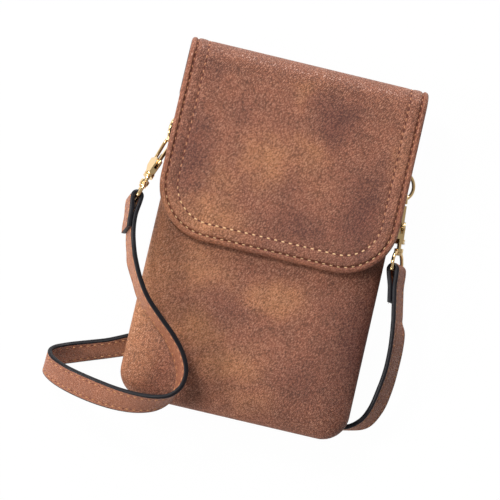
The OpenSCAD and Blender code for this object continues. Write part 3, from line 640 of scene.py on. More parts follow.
def curve_through(places, steps):
    """A smooth curve through places: between two of them each number is the cubic that has, at
    both ends, half the slope from the place before to the place after."""
    p = np.concatenate([[2 * places[0] - places[1]], places, [2 * places[-1] - places[-2]]])
    t = np.linspace(0, 1, steps, endpoint=False)[None, :, None]
    a, b, c, d = (p[k : len(p) - 3 + k, None] for k in range(4))
    curve = (2 * b + (c - a) * t + (2 * a - 5 * b + 4 * c - d) * t**2 + (3 * b - a - 3 * c + d) * t**3) / 2
    return np.concatenate([curve.reshape(-1, 3), places[-1:]])


def curled(side, spots):
    """Bends the lower part of a strap end inward: nothing at its closed part, then with the square
    of the way down from there."""
    bar, turned = end_frame(side)
    down = np.clip((spots - bar) @ turned @ [0, -1, 0] - JOIN_L, 0, None)
    share = down / (END_L - JOIN_L)
    return spots + share[:, None] ** 2 * np.array([CURL[side], 0, 0])


def run_line(side, steps):
    """Middle line and width direction of a free run: out of the strap end, along its way, and
    into the coil."""
    bar, turned = end_frame(side)
    away = turned @ [0, -1, 0]
    across = turned @ [0, 0, -1]
    seam = bar + turned @ [LAYER[side] * STRAP_T / 2, -END_L, 0]
    way, widths = ((LEFT_WAY, LEFT_ACROSS), (RIGHT_WAY, RIGHT_ACROSS))[side]
    route = np.array([[x * BODY_HALF, y * POUCH_HALF, level(z)] for x, y, z in way])
    tip = np.append(coil_arms()[side][-1], STRAP_W / 2)
    out = math.radians(COIL_OUT[side])
    heading = np.array([-math.sin(out), math.cos(out), 0])
    ends = np.array([tip + heading * 2 * LEAD, tip])
    slope = 2 * CURL[side] / (END_L - JOIN_L)
    seam = curled(side, seam[None])[0]
    start = np.array([seam, seam + unit(away + [slope, 0, 0]) * LEAD / 2])
    line = curve_through(np.concatenate([start, route, ends]), steps)
    wide = np.concatenate([[across] * 2, unit(np.array(widths, float)), [[0, 0, -1.0]] * 2])
    return line, curve_through(wide, steps)


def end_line(side):
    """Middle line of a strap end in its own flat plane: up one layer, round the bar, and back
    down the other, closing in until the layers touch."""
    mid_r = BAR_R + AIR + STRAP_T / 2
    rise = np.linspace(0, 1, 15)[:-1]
    ease = rise * rise * (3 - 2 * rise)
    up = np.stack([STRAP_T / 2 + (mid_r - STRAP_T / 2) * ease, -JOIN_L * (1 - rise)], axis=-1)
    low = np.stack([np.full(8, STRAP_T / 2), np.linspace(-END_L, -JOIN_L, 9)[:-1]], axis=-1)
    a = np.linspace(0, math.pi, 25)
    round_ = mid_r * np.stack([np.cos(a), np.sin(a)], axis=-1)
    tip = np.stack([np.full(5, -STRAP_T / 2), np.linspace(-JOIN_L, -FOLD_L, 6)[1:]], axis=-1)
    middle = np.array([[-STRAP_T / 2, -JOIN_L]])
    flat = np.concatenate([low, up, round_, up[::-1][:-1] * [-1, 1], middle, tip])
    flat[:, 0] *= LAYER[side]
    bar, turned = end_frame(side)
    spots = bar + np.column_stack([flat, np.zeros(len(flat))]) @ turned.T
    return curled(side, spots), np.tile(turned @ [0, 0, -1.0], (len(spots), 1))


def band_frames(line, wide):
    """Width direction and face direction at each place of a band: the given width with its part
    along the line taken off, and what is square to both."""
    heading = unit(np.gradient(line, axis=0))
    across = unit(wide - np.sum(wide * heading, axis=-1, keepdims=True) * heading)
    return across, np.cross(heading, across)


# Half width of the dent under a stitch row, and of its bell-shaped curve
STRAP_ROW_HALF, STRAP_ROW_BELL = 0.0007, 0.0005
# Height of a painted edge's rounding as a share of its width
EDGE_FLAT_SHARE = 0.75


def band_section(sizes, row):
    """The strap's section as width, thickness and material: a flat face with a dent under each
    stitch row, a round painted edge, the other face, and the other edge."""
    half_w, half_t, r = STRAP_W / 2, STRAP_T / 2, sizes.rounding
    mid = half_w - row
    right = np.array([mid / 2, mid - STRAP_ROW_HALF, mid, mid + STRAP_ROW_HALF, half_w - r])
    w = np.concatenate([-right[::-1], [0], right])
    dip = sizes.row_dip * bell(np.abs(w) - mid, STRAP_ROW_BELL)
    face = np.stack([w, half_t - dip], axis=-1)
    a = np.linspace(math.pi / 2, -math.pi / 2, 9)[1:-1]
    flat_r = r * EDGE_FLAT_SHARE
    straight = (half_t - flat_r) * np.sign(np.round(a, 3))
    edge = np.stack([half_w - r + r * np.cos(a), straight + flat_r * np.sin(a)], axis=-1)
    section = np.concatenate([face, edge, -face, -edge])
    return section, np.array(([0] * (len(w) - 1) + [1] * (len(edge) + 1)) * 2)


def band_patches(line, frames, sizes, stitches):
    """The swept band with end faces, and stitch rows on both faces: each corner is the line's place
    plus the section's width and thickness times the two directions there."""
    across, face = frames
    section, slots = band_section(sizes, stitches.strap_row)
    loop = np.concatenate([section, section[:1]])
    grid = line[:, None] + across[:, None] * loop[None, :, 0:1] + face[:, None] * loop[None, :, 1:2]
    parts = [patch(grid, slots)]
    for k in (0, -1):
        ring = grid[k]
        parts.append(patch(np.stack([ring, np.tile(line[k], (len(ring), 1))]), 1))
    row = STRAP_W / 2 - stitches.strap_row
    one = thread_shape(stitches.seen, stitches.thread * STRAP_SEWING_SHARE, STRAP_LIFT, 7, 5)
    dent = dent_shape(stitches.hole * STRAP_SEWING_SHARE, *STRAP_DENT, 5, 5)
    for sign in (1, -1):
        for edge in (-1, 1):
            up = face * sign
            places = line + across * (edge * row) + up * (STRAP_T / 2 - sizes.row_dip)
            for form, slot, offset in ((one, 2, STITCH_AT), (dent, 3, DENT_AT)):
                here, along, side, over = spaced(places, up, stitches.strap_pitch, offset)
                parts.append(copies(form, here, along, side, over, slot))
    return parts


# Materials


def put(tree, kind, inputs=None, **settings):
    """Adds a node: inputs are values or the outputs that feed them."""
    node = tree.nodes.new("ShaderNode" + kind)
    for key, value in settings.items():
        setattr(node, key, value)
    for key, value in (inputs or {}).items():
        if isinstance(value, bpy.types.NodeSocket):
            tree.links.new(value, node.inputs[key])
        else:
            node.inputs[key].default_value = value
    return node


def blend_colours(tree, factor, first, second):
    """The first colour where the factor is 0, the second where it is 1."""
    return put(tree, "Mix", {0: factor, 6: first, 7: second}, data_type="RGBA").outputs[2]


def ramp(tree, value, low, high, to_low=0.0, to_high=1.0):
    """A value led smoothly from one range to another."""
    node = put(
        tree, "MapRange", {0: value, 1: low, 2: high, 3: to_low, 4: to_high},
        interpolation_type="SMOOTHSTEP",
    )
    return node.outputs[0]


def maths(tree, how, first, second=0.0):
    """One step of arithmetic on values."""
    return put(tree, "Math", {0: first, 1: second}, operation=how).outputs[0]


def weighed(tree, first, second, shares):
    """The sum of two values, each times its share."""
    first = maths(tree, "MULTIPLY", first, shares[0])
    return maths(tree, "ADD", first, maths(tree, "MULTIPLY", second, shares[1]))


def vectors(tree, how, first, second):
    """One step of arithmetic on vectors or colours."""
    return put(tree, "VectorMath", {0: first, 1: second}, operation=how).outputs[0]


def sway(tree, vector, scale, detail, reach):
    """A move of up to half the reach either way, from the three colours of a noise."""
    colours = put(tree, "TexNoise", {"Vector": vector, "Scale": scale, "Detail": detail})
    middle = vectors(tree, "SUBTRACT", colours.outputs["Color"], (0.5, 0.5, 0.5))
    return put(tree, "VectorMath", {0: middle, "Scale": reach}, operation="SCALE").outputs[0]


def noise(tree, vector, scale, detail=2.0, rough=0.5, distort=0.0):
    """A cloudy value from 0 to 1."""
    node = put(
        tree, "TexNoise",
        {"Vector": vector, "Scale": scale, "Detail": detail, "Roughness": rough, "Distortion": distort},
    )
    return node.outputs[0]


def new_group(name, inputs, outputs):
    """A node group with named sockets, and its inputs."""
    tree = bpy.data.node_groups.new(name, "ShaderNodeTree")
    for label, kind in inputs:
        tree.interface.new_socket(name=label, in_out="INPUT", socket_type="NodeSocket" + kind)
    for label, kind in outputs:
        tree.interface.new_socket(name=label, in_out="OUTPUT", socket_type="NodeSocket" + kind)
    return tree, tree.nodes.new("NodeGroupInput").outputs


def finish_group(tree, **values):
    """Leads values to a group's outputs."""
    out = tree.nodes.new("NodeGroupOutput")
    for label, socket in values.items():
        tree.links.new(socket, out.inputs[label])


# Direction of the pebbles in degrees, how much longer than wide they are, and how far their edges
# bend, in shares of a pebble
GRAIN_SLANT, GRAIN_STRETCH, GRAIN_SWAY = -32, 2.8, 1.5
# Scales of the noise that bends the edges and of the fine one on the pebbles, as shares of the
# grain's own
GRAIN_BENDS, GRAIN_FINE = 0.6, 1.3
# Distance from a pebble's edge at which it has risen, and that at which the crease has ended
PEBBLE_RISEN, CREASE_ENDS = 0.26, 0.17
# Distances from the edge between which the crest begins
CREST_BEGINS = (0.08, 0.3)
# Shares of the pebble's own tone and of the fine noise in its unevenness, and shares of its rise
# and of that unevenness in the whole height
UNEVEN_SHARES, HEIGHT_SHARES = (0.45, 0.55), (0.65, 0.5)
# Values of the unevenness between which the crest grows, and its strength at both
CREST_GROWS = (0.3, 0.7, 0.6, 1.0)


def grain_group():
    """Pebbled hide: cells drawn out along a slant, with bent edges. Puts out the height, a mask that is 1
    in the creases between the pebbles, where the colour gets painted shade, and one that is 1 on the tops
    of some pebbles, where the colour gets a painted highlight."""
    if "hide_grain" in bpy.data.node_groups:
        return bpy.data.node_groups["hide_grain"]
    tree, given = new_group(
        "hide_grain", [("Vector", "Vector"), ("Scale", "Float")],
        [("Height", "Float"), ("Crease", "Float"), ("Crest", "Float")],
    )
    slant = {"Rotation": (0, 0, math.radians(GRAIN_SLANT)), "Scale": (1.0, GRAIN_STRETCH, 1.0)}
    slanted = put(
        tree, "Mapping", {"Vector": given["Vector"], **slant}, vector_type="TEXTURE"
    ).outputs[0]
    coarse = maths(tree, "MULTIPLY", given["Scale"], GRAIN_BENDS)
    reach = maths(tree, "DIVIDE", GRAIN_SWAY, given["Scale"])
    bent = vectors(tree, "ADD", slanted, sway(tree, given["Vector"], coarse, 1.0, reach))
    cells = {"Vector": bent, "Scale": given["Scale"]}
    edge = put(tree, "TexVoronoi", cells, feature="DISTANCE_TO_EDGE").outputs["Distance"]
    tone = put(tree, "TexVoronoi", cells, feature="F1").outputs["Color"]
    tone = put(tree, "SeparateColor", {0: tone}).outputs[0]
    fine = noise(tree, bent, maths(tree, "MULTIPLY", given["Scale"], GRAIN_FINE), 1.5)
    pebble = ramp(tree, edge, 0.0, PEBBLE_RISEN)
    uneven = weighed(tree, tone, fine, UNEVEN_SHARES)
    height = weighed(tree, pebble, uneven, HEIGHT_SHARES)
    crest = ramp(tree, uneven, *CREST_GROWS)
    crest = maths(tree, "MULTIPLY", crest, ramp(tree, edge, *CREST_BEGINS))
    finish_group(tree, Height=height, Crease=ramp(tree, edge, CREASE_ENDS, 0.0), Crest=crest)
    return tree


# Patches of the front, partly the leather's hand-rubbed tone and partly painted light, the long golden one
# down the body's left edge being painted sheen and the long smoky one down its right side painted shade:
# middle, half width and half height in metres, and strength
GOLDEN_AND_SHEEN_PATCHES = (
    (-0.011, 0.039, 0.020, 0.020, 0.8), (0.008, 0.047, 0.018, 0.017, 0.6),
    (0.001, 0.075, 0.012, 0.013, 0.5), (-0.036, 0.003, 0.036, 0.018, 0.9),
    (-0.034, 0.024, 0.018, 0.018, 0.5), (0.056, 0.054, 0.010, 0.020, 0.3),
    (0.008, -0.030, 0.030, 0.016, 0.85), (-0.034, -0.023, 0.032, 0.022, 0.8),
    (-0.028, -0.054, 0.026, 0.018, 0.9), (-0.060, -0.040, 0.026, 0.090, 1.0),
    (-0.008, -0.066, 0.026, 0.016, 0.9), (0.006, -0.082, 0.026, 0.012, 0.4),
)
SMOKY_AND_SHADE_PATCHES = (
    (0.020, 0.068, 0.022, 0.024, 0.9), (0.042, 0.022, 0.022, 0.044, 0.9),
    (0.012, 0.008, 0.034, 0.017, 0.7), (-0.050, 0.032, 0.016, 0.044, 0.8),
    (-0.029, 0.060, 0.014, 0.014, 0.5), (0.002, 0.029, 0.010, 0.012, 0.5),
    (-0.014, -0.040, 0.020, 0.013, 0.5), (0.060, -0.045, 0.038, 0.078, 1.0),
    (0.034, -0.070, 0.026, 0.034, 0.6), (-0.052, 0.078, 0.016, 0.016, 0.5),
)


def patch_mask(tree, vector, patches):
    """The strongest of the patches: each fades out as the distance from its middle, in shares of
    its half sizes, goes from nought to one."""
    mask = 0.0
    for x, y, half_x, half_y, strength in patches:
        off = vectors(tree, "SUBTRACT", vector, (x, y, 0))
        shares = vectors(tree, "MULTIPLY", off, (1 / half_x, 1 / half_y, 0))
        far = put(tree, "VectorMath", {0: shares}, operation="LENGTH").outputs["Value"]
        mask = maths(tree, "MAXIMUM", ramp(tree, far, 1.0, 0.0, 0.0, strength), mask)
    return mask


# Scales of the noises that sway the patches' edges, cloud the tone and lay the wide patches
SWAY_SCALE, CLOUD_SCALE, WIDE_SCALE = 60.0, 120.0, 34.0
# How far the patches' edges sway
SWAY_REACH = 0.022
# Values of the wide noise between which more of the golden and of the smoky tone shows, and how
# strongly it does at both
WIDE_GOLDEN, WIDE_SMOKY = (0.58, 0.78, 0.0, 0.5), (0.4, 0.22, 0.0, 0.3)
# Values of the cloudy noise and the tones that it gives
CLOUD_TONES = (0.25, 0.75, 0.88, 1.12)
# Painted shade in the creases, as the share of the tone left there, and how much of the painted highlight
# shows on the brown and on the smoky and shaded patches
CREASE_SHADE, HIGHLIGHT_SHARES = 0.4, (0.32, 0.16)
# Roughness in the creases and on the crests, and the gloss of all hides
HIDE_ROUGH, HIDE_SHINE = (0.56, 0.4), 0.4


def mottle_and_light_group():
    """Colour with painted light: soft golden and smoky patches with swaying edges over the brown, partly
    the leather's hand-rubbed tone and partly painted sheen and painted shade, all a little cloudy, with
    painted shade in the creases of the grain and a painted highlight on its crests."""
    if "mottle_and_painted_light" in bpy.data.node_groups:
        return bpy.data.node_groups["mottle_and_painted_light"]
    tree, given = new_group(
        "mottle_and_painted_light",
        [("Vector", "Vector")]
        + [(label, "Color") for label in ("Brown", "Golden", "Shade", "Painted highlight")]
        + [(label, "Float") for label in ("Crease", "Crest", "Patches", "Depth")],
        [("Color", "Color"), ("Roughness", "Float")],
    )
    here = given["Vector"]
    moved = vectors(tree, "ADD", here, sway(tree, here, SWAY_SCALE, 3.0, SWAY_REACH))
    cloud = noise(tree, here, CLOUD_SCALE)
    wide = noise(tree, here, WIDE_SCALE, distort=0.3)
    # Golden patches: the leather's rubbed tone, and painted sheen down the body's left edge
    golden_and_sheen = patch_mask(tree, moved, GOLDEN_AND_SHEEN_PATCHES)
    golden_and_sheen = maths(tree, "MAXIMUM", golden_and_sheen, ramp(tree, wide, *WIDE_GOLDEN))
    golden_and_sheen = maths(tree, "MULTIPLY", golden_and_sheen, given["Patches"])
    # Smoky patches: the leather's own tone, and painted shade down the body's right side
    smoky_and_shade = patch_mask(tree, moved, SMOKY_AND_SHADE_PATCHES)
    smoky_and_shade = maths(tree, "MAXIMUM", smoky_and_shade, ramp(tree, wide, *WIDE_SMOKY))
    smoky_and_shade = maths(tree, "MULTIPLY", smoky_and_shade, given["Patches"])
    colour_ = blend_colours(tree, golden_and_sheen, given["Brown"], given["Golden"])
    colour_ = blend_colours(tree, smoky_and_shade, colour_, given["Shade"])
    # Painted shade darkens the grain's creases
    crease_shade = ramp(tree, given["Crease"], 0.0, 1.0, 1.0, CREASE_SHADE)
    tone = maths(tree, "MULTIPLY", ramp(tree, cloud, *CLOUD_TONES), crease_shade)
    tone = put(tree, "Mix", {0: given["Depth"], 2: 1.0, 3: tone}, data_type="FLOAT").outputs[0]
    grey = put(tree, "CombineXYZ", {0: tone, 1: tone, 2: tone}).outputs[0]
    colour_ = vectors(tree, "MULTIPLY", colour_, grey)
    # Painted highlight on the grain's tops, weaker on the smoky and shaded patches
    highlight_share = maths(tree, "MULTIPLY", given["Depth"], ramp(tree, smoky_and_shade, 0.0, 1.0, *HIGHLIGHT_SHARES))
    highlight_share = maths(tree, "MULTIPLY", given["Crest"], highlight_share)
    colour_ = blend_colours(tree, highlight_share, colour_, given["Painted highlight"])
    finish_group(tree, Color=colour_, Roughness=ramp(tree, given["Crest"], 0.0, 1.0, *HIDE_ROUGH))
    return tree


def start_material(name):
    """An empty node material with its shader and output, and the object's own coordinates."""
    material = bpy.data.materials.new(name)
    material.use_nodes = True
    tree = material.node_tree
    tree.nodes.clear()
    shader = put(tree, "BsdfPrincipled")
    output = put(tree, "OutputMaterial")
    tree.links.new(shader.outputs[0], output.inputs[0])
    return material, tree, shader, put(tree, "TexCoord").outputs["Object"]


def bumped(tree, shader, height, strength, distance):
    """Leads a height to the shader's surface by a bump of the given strength and distance."""
    node = put(tree, "Bump", {"Height": height, "Strength": strength, "Distance": distance})
    tree.links.new(node.outputs[0], shader.inputs["Normal"])


# Height of the leather's grain
GRAIN_HEIGHT = 0.0005
# Each hide: how strongly its patches show, how fine its grain is, and how strongly the grain shows in the
# colour, as painted crease shade and crest highlight, and in the surface
HIDES = {
    "body_hide": (1.0, 1350.0, 1.0, 0.55),
    "flap_hide": (1.0, 1300.0, 1.0, 0.55),
    "groove_hide": (1.0, 900.0, 0.3, 0.5),
    "rim_hide": (1.0, 1100.0, 0.8, 0.7),
    "strap_hide": (0.35, 1300.0, 0.6, 0.5),
}
# Shares of the tones' red, green and blue that the groove's painted shade and the rim's painted highlight
# have
GROOVE_SHADE, RIM_HIGHLIGHT = (0.5, 0.38, 0.34), (1.1, 1.1, 1.1)
# Heights on the pouch between which the flap's thread is darkened as painted shade
THREAD_SHADE_HEIGHTS = (0.002, 0.02)
# Scale and height of the lining's weave, how strongly it shows in the surface, the share of the
# tone left between its ribs, and its roughness
WEAVE_SCALE, WEAVE_HEIGHT, WEAVE_STRENGTH, WEAVE_TONE, WEAVE_ROUGH = 420.0, 0.0001, 0.5, 0.6, 0.85
# Scale and height of a thread's twist, how strongly it shows, and the flap thread's roughness
TWIST_SCALE, TWIST_HEIGHT, TWIST_STRENGTH, THREAD_ROUGH = 2600.0, 0.0001, 0.6, 0.5
# How far a plain finish's roughness goes either way, as a share
ROUGH_SPREAD = 0.2


def hide(name, tones):
    """Creased leather, with painted shade in its creases, a painted highlight on its crests and patches of
    rubbed tone and painted light, from its brown, golden and smoky tones and its numbers in HIDES.
    """
    if name in bpy.data.materials:
        return bpy.data.materials[name]
    patches, scale, depth, strength = HIDES[name]
    material, tree, shader, here = start_material(name)
    grain = put(tree, "Group", node_tree=grain_group())
    tree.links.new(here, grain.inputs["Vector"])
    grain.inputs["Scale"].default_value = scale
    tones_and_light = put(tree, "Group", node_tree=mottle_and_light_group())
    tree.links.new(here, tones_and_light.inputs["Vector"])
    for label in ("Crease", "Crest"):
        tree.links.new(grain.outputs[label], tones_and_light.inputs[label])
    for label, tone in zip(("Brown", "Golden", "Shade"), tones):
        tones_and_light.inputs[label].default_value = tone
    tones_and_light.inputs["Painted highlight"].default_value = bpy.context.scene.pouch_colours.highlight_colour
    tones_and_light.inputs["Patches"].default_value = patches
    tones_and_light.inputs["Depth"].default_value = depth
    tree.links.new(tones_and_light.outputs["Color"], shader.inputs["Base Color"])
    tree.links.new(tones_and_light.outputs["Roughness"], shader.inputs["Roughness"])
    shader.inputs["Specular IOR Level"].default_value = HIDE_SHINE
    bumped(tree, shader, grain.outputs["Height"], strength, GRAIN_HEIGHT)
    return material


def plain(name, base, rough, scale, spread, strength=0.15, height=0.00005, metallic=0.0, shine=0.5):
    """A plain finish with a little cloudiness in its tone, gloss and surface: spread is how far
    the tone goes either way, and strength and height are those of the uneven surface."""
    if name in bpy.data.materials:
        return bpy.data.materials[name]
    material, tree, shader, here = start_material(name)
    cloud = noise(tree, here, scale, 3.0, 0.55)
    dark = [c * (1 - spread) for c in base[:3]] + [1]
    light = [min(c * (1 + spread), 1) for c in base[:3]] + [1]
    tree.links.new(blend_colours(tree, cloud, dark, light), shader.inputs["Base Color"])
    less, more = rough * (1 - ROUGH_SPREAD), rough * (1 + ROUGH_SPREAD)
    tree.links.new(ramp(tree, cloud, 0.2, 0.8, less, more), shader.inputs["Roughness"])
    shader.inputs["Metallic"].default_value = metallic
    shader.inputs["Specular IOR Level"].default_value = shine
    bumped(tree, shader, cloud, strength, height)
    return material


def woven(name, base):
    """Plain weave: the higher of two sets of fine ribs that cross."""
    if name in bpy.data.materials:
        return bpy.data.materials[name]
    material, tree, shader, here = start_material(name)
    ribs = {"Vector": here, "Scale": WEAVE_SCALE}
    along = put(tree, "TexWave", ribs, bands_direction="X").outputs["Fac"]
    across = put(tree, "TexWave", ribs, bands_direction="Y").outputs["Fac"]
    weave = maths(tree, "MAXIMUM", along, across)
    dark = [c * WEAVE_TONE for c in base[:3]] + [1]
    tree.links.new(blend_colours(tree, weave, dark, list(base)), shader.inputs["Base Color"])
    shader.inputs["Roughness"].default_value = WEAVE_ROUGH
    bumped(tree, shader, weave, WEAVE_STRENGTH, WEAVE_HEIGHT)
    return material


def leather(context):
    """The body's hide."""
    c = context.scene.pouch_colours
    return hide("body_hide", (c.brown, c.golden, c.shade))


def flap_leather(context):
    """The flap's hide, with a slightly larger grain."""
    c = context.scene.pouch_colours
    return hide("flap_hide", (c.brown, c.golden, c.shade))


def toned(tones, shares):
    """Colours with their red, green and blue each times its share, up to full."""
    return [[min(v * share, 1) for v, share in zip(tone, shares)] + [1] for tone in tones]


def groove_shade_leather(context):
    """Painted shade in the sewn groove of the flap."""
    c = context.scene.pouch_colours
    return hide("groove_hide", toned((c.brown, c.golden, c.shade), GROOVE_SHADE))


def rim_highlight_leather(context):
    """The rolled rim, stretched smooth and painted paler as a highlight on its bead."""
    c = context.scene.pouch_colours
    return hide("rim_hide", toned((c.brown, c.golden, c.shade), RIM_HIGHLIGHT))


def strap_leather(context):
    """The strap's thinner hide, with few patches and less grain."""
    c = context.scene.pouch_colours
    return hide("strap_hide", (c.strap, c.golden, c.shade))


def inside_leather(context):
    """The smooth dark leather that faces inwards."""
    inside = context.scene.pouch_colours.inside
    return plain("inside_leather", inside, 0.55, 700.0, 0.18, strength=0.5, height=0.0001)


def thread(context):
    """Waxed thread: pale along the flap's lower edge, and darker up its sides as painted shade of the
    groove it lies in.
    """
    c = context.scene.pouch_colours
    if "sewing_thread" in bpy.data.materials:
        return bpy.data.materials["sewing_thread"]
    material, tree, shader, here = start_material("sewing_thread")
    shade_share = ramp(tree, put(tree, "SeparateXYZ", {0: here}).outputs[1], *THREAD_SHADE_HEIGHTS)
    tree.links.new(blend_colours(tree, shade_share, c.thread, c.shaded_thread), shader.inputs["Base Color"])
    shader.inputs["Roughness"].default_value = THREAD_ROUGH
    bumped(tree, shader, noise(tree, here, TWIST_SCALE), TWIST_STRENGTH, TWIST_HEIGHT)
    return material


def strap_thread(context):
    """The strap's thread, darker than the flap's."""
    base = context.scene.pouch_colours.strap_thread
    twist = {"strength": TWIST_STRENGTH, "height": TWIST_HEIGHT}
    return plain("strap_thread", base, 0.6, TWIST_SCALE, 0.2, **twist)


def needle_hole(context):
    """Painted shade of the needle holes: the dark dents between stitches."""
    return plain("needle_hole", context.scene.pouch_colours.hole, 0.8, 900.0, 0.2)


def edge_paint(context):
    """The thick dull paint on the strap's edges."""
    paint = context.scene.pouch_colours.paint
    return plain("edge_paint", paint, 0.45, 500.0, 0.15, strength=0.4, height=0.0001, shine=0.2)


# Operators


class POUCH_OT_body(Operator):
    """Builds the pouch's front and back: leather, padding, lining and facing, each in the last"""

    bl_idname = "pouch.body"
    bl_label = "Body shells"

    def execute(self, context):
        sizes, colours = context.scene.pouch_shell, context.scene.pouch_colours
        hide_, dark = leather(context), inside_leather(context)
        foam = plain("foam_sheet", colours.foam, 0.95, 1500.0, 0.15, strength=0.6, height=0.0002)
        cloth = woven("lining_weave", colours.lining)
        foam_in = sizes.wall + AIR
        cloth_in = foam_in + sizes.foam
        facing_in = cloth_in + sizes.cloth
        for half, reach, sign in (("front", sizes.front_dome, 1), ("back", sizes.back_dome, -1)):
            top = {layer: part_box(half + "_" + layer)[1].y for layer in ("panel", "padding", "lining")}
            facing_low, facing_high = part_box(half + "_facing")
            self.add("pouch_" + half, half + "_panel", "pouch_leather", [hide_, dark], shell_patches(
                sizes, reach, sign, 0.0, sizes.wall, 0.0, top["panel"]))
            self.add(half + "_foam", half + "_padding", "padding", [foam, foam], shell_patches(
                sizes, reach, sign, foam_in, sizes.foam - AIR, sizes.foam_margin, top["padding"]))
            self.add(half + "_cloth", half + "_lining", "lining_cloth", [cloth, cloth], shell_patches(
                sizes, reach, sign, cloth_in, sizes.cloth - AIR, 0.0, top["lining"]))
            self.add(half + "_mouth_facing", half + "_facing", "pouch_leather", [hide_], strip_patches(
                reach, sign, facing_in, sizes.facing, facing_low.y, facing_high.y))
        return {"FINISHED"}

    def add(self, name, node, slot, skins, patches):
        piece = make_piece(name, patches, skins, BODY_CREASE)
        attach(piece, "pouch")
        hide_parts(node)


class POUCH_OT_flap(Operator):
    """Builds the flap with its fold, its sewn tail and two stitch rows"""

    bl_idname = "pouch.flap"
    bl_label = "Flap"

    def execute(self, context):
        shape = FlapShape(context.scene.pouch_flap)
        skins = [
            flap_leather(context), inside_leather(context), thread(context), needle_hole(context),
            groove_shade_leather(context), rim_highlight_leather(context),
        ]
        depths = shape.depths()
        outer, inner = shape.outer(depths), shape.inner(depths)
        whole = shape.arc_r * math.pi + shape.front_c - shape.back_c
        back = shape.fold(0, whole / 2, 30)
        front = shape.fold(whole / 2, whole, 30)
        cap = np.stack([shape.swept(back, depths, outer)[-1], shape.swept(back, depths, inner)[-1]])
        slots = shape.line_slots((depths[1:] + depths[:-1]) / 2)
        both_sides = np.concatenate([slots, slots[::-1]])
        back_patches = [
            patch(*shape.tail(depths, True)), patch(*shape.tail(depths, False)),
            patch(shape.swept(back, depths, outer), both_sides),
            patch(shape.swept(back, depths, inner), 1), patch(cap, 1),
        ]
        front_patches = [
            patch(shape.front(depths, True), slots[:, None]), patch(shape.front(depths, False), 1),
            patch(shape.swept(front, depths, outer), both_sides),
            patch(shape.swept(front, depths, inner), 1), patch(cap, 1),
        ]
        self.sew(context, shape, front_patches, back_patches)
        flap = make_piece("flap_front", front_patches, skins, FLAP_CREASE)
        tail = make_piece("flap_back", back_patches, skins, FLAP_CREASE)
        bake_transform(flap)
        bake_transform(tail)
        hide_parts("flap_outer", "flap_fold_front")
        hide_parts("flap_tail", "flap_fold_back", "flap_top_strip")
        return {"FINISHED"}

    def sew(self, context, shape, front_patches, back_patches):
        """Lays both stitch rows and gives each stitch to the flap piece that it is on."""
        stitches = context.scene.pouch_stitch
        for depth in (shape.sizes.rim, shape.sizes.second_row):
            places, ups = shape.row(depth)
            one = thread_shape(stitches.seen, stitches.thread, FLAP_LIFT)
            dent = dent_shape(stitches.hole, *FLAP_DENT)
            for form, slot, offset in ((one, 2, STITCH_AT), (dent, 3, DENT_AT)):
                here, along, across, up = spaced(places, ups, stitches.pitch, offset)
                on_front = here[:, 2] > shape.split_z
                for mask, parts in ((on_front, front_patches), (~on_front, back_patches)):
                    parts.append(copies(form, here[mask], along[mask], across[mask], up[mask], slot))


class POUCH_OT_strap(Operator):
    """Builds the strap: its two folded ends, its two free runs and its coil"""

    bl_idname = "pouch.strap"
    bl_label = "Strap"

    def execute(self, context):
        sizes, stitches = context.scene.pouch_strap, context.scene.pouch_stitch
        skins = [
            strap_leather(context), edge_paint(context), strap_thread(context), needle_hole(context)
        ]
        for side, name in enumerate(("left", "right")):
            line, wide = end_line(side)
            band = band_patches(line, band_frames(line, wide), sizes, stitches)
            piece = make_piece(name + "_strap_fold", band, skins)
            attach(piece, name + "_strap_end")
            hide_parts(name + "_strap_end")
            self.lay_run(name, side, sizes, stitches, skins)
        left, right = coil_arms()
        flat = np.concatenate([left[:0:-1], right])
        line = np.column_stack([flat, np.full(len(flat), STRAP_W / 2)])
        wide = np.tile([0, 0, -1.0], (len(line), 1))
        band = band_patches(line, band_frames(line, wide), sizes, stitches)
        coil = make_piece("strap_wound", band, skins)
        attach(coil, "pouch")
        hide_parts("strap_coil")
        return {"FINISHED"}

    def lay_run(self, name, side, sizes, stitches, skins):
        """Cuts a free run into short lengths, each baked in place and tied to no body, and one long rest
        that stays with the pouch."""
        line, wide = run_line(side, sizes.curve_steps)
        across, face = band_frames(line, wide)
        run = np.concatenate([[0], np.cumsum(np.linalg.norm(np.diff(line, axis=0), axis=1))])
        cuts = [0, *np.searchsorted(run, BEND_CUTS).tolist(), len(line) - 1]
        for k, (start, end) in enumerate(zip(cuts[:-1], cuts[1:])):
            part = slice(start, end + 1)
            band = band_patches(line[part], (across[part], face[part]), sizes, stitches)
            last = k == len(cuts) - 2
            label = name + ("_strap_run_free" if last else "_strap_bend_%d" % (k + 1))
            piece = make_piece(label, band, skins)
            if last:
                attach(piece, "pouch")
            else:
                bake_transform(piece)
            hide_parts(name + "_strap_run")


# Widths of the broken edges on the plated pieces, on the clasps' pins and springs and on the snap
PLATED_EDGE, WIRE_EDGE, SNAP_EDGE = 0.00018, 0.00006, 0.0001
# Edges that turn by more degrees than this are broken
SHARP_EDGE = 40


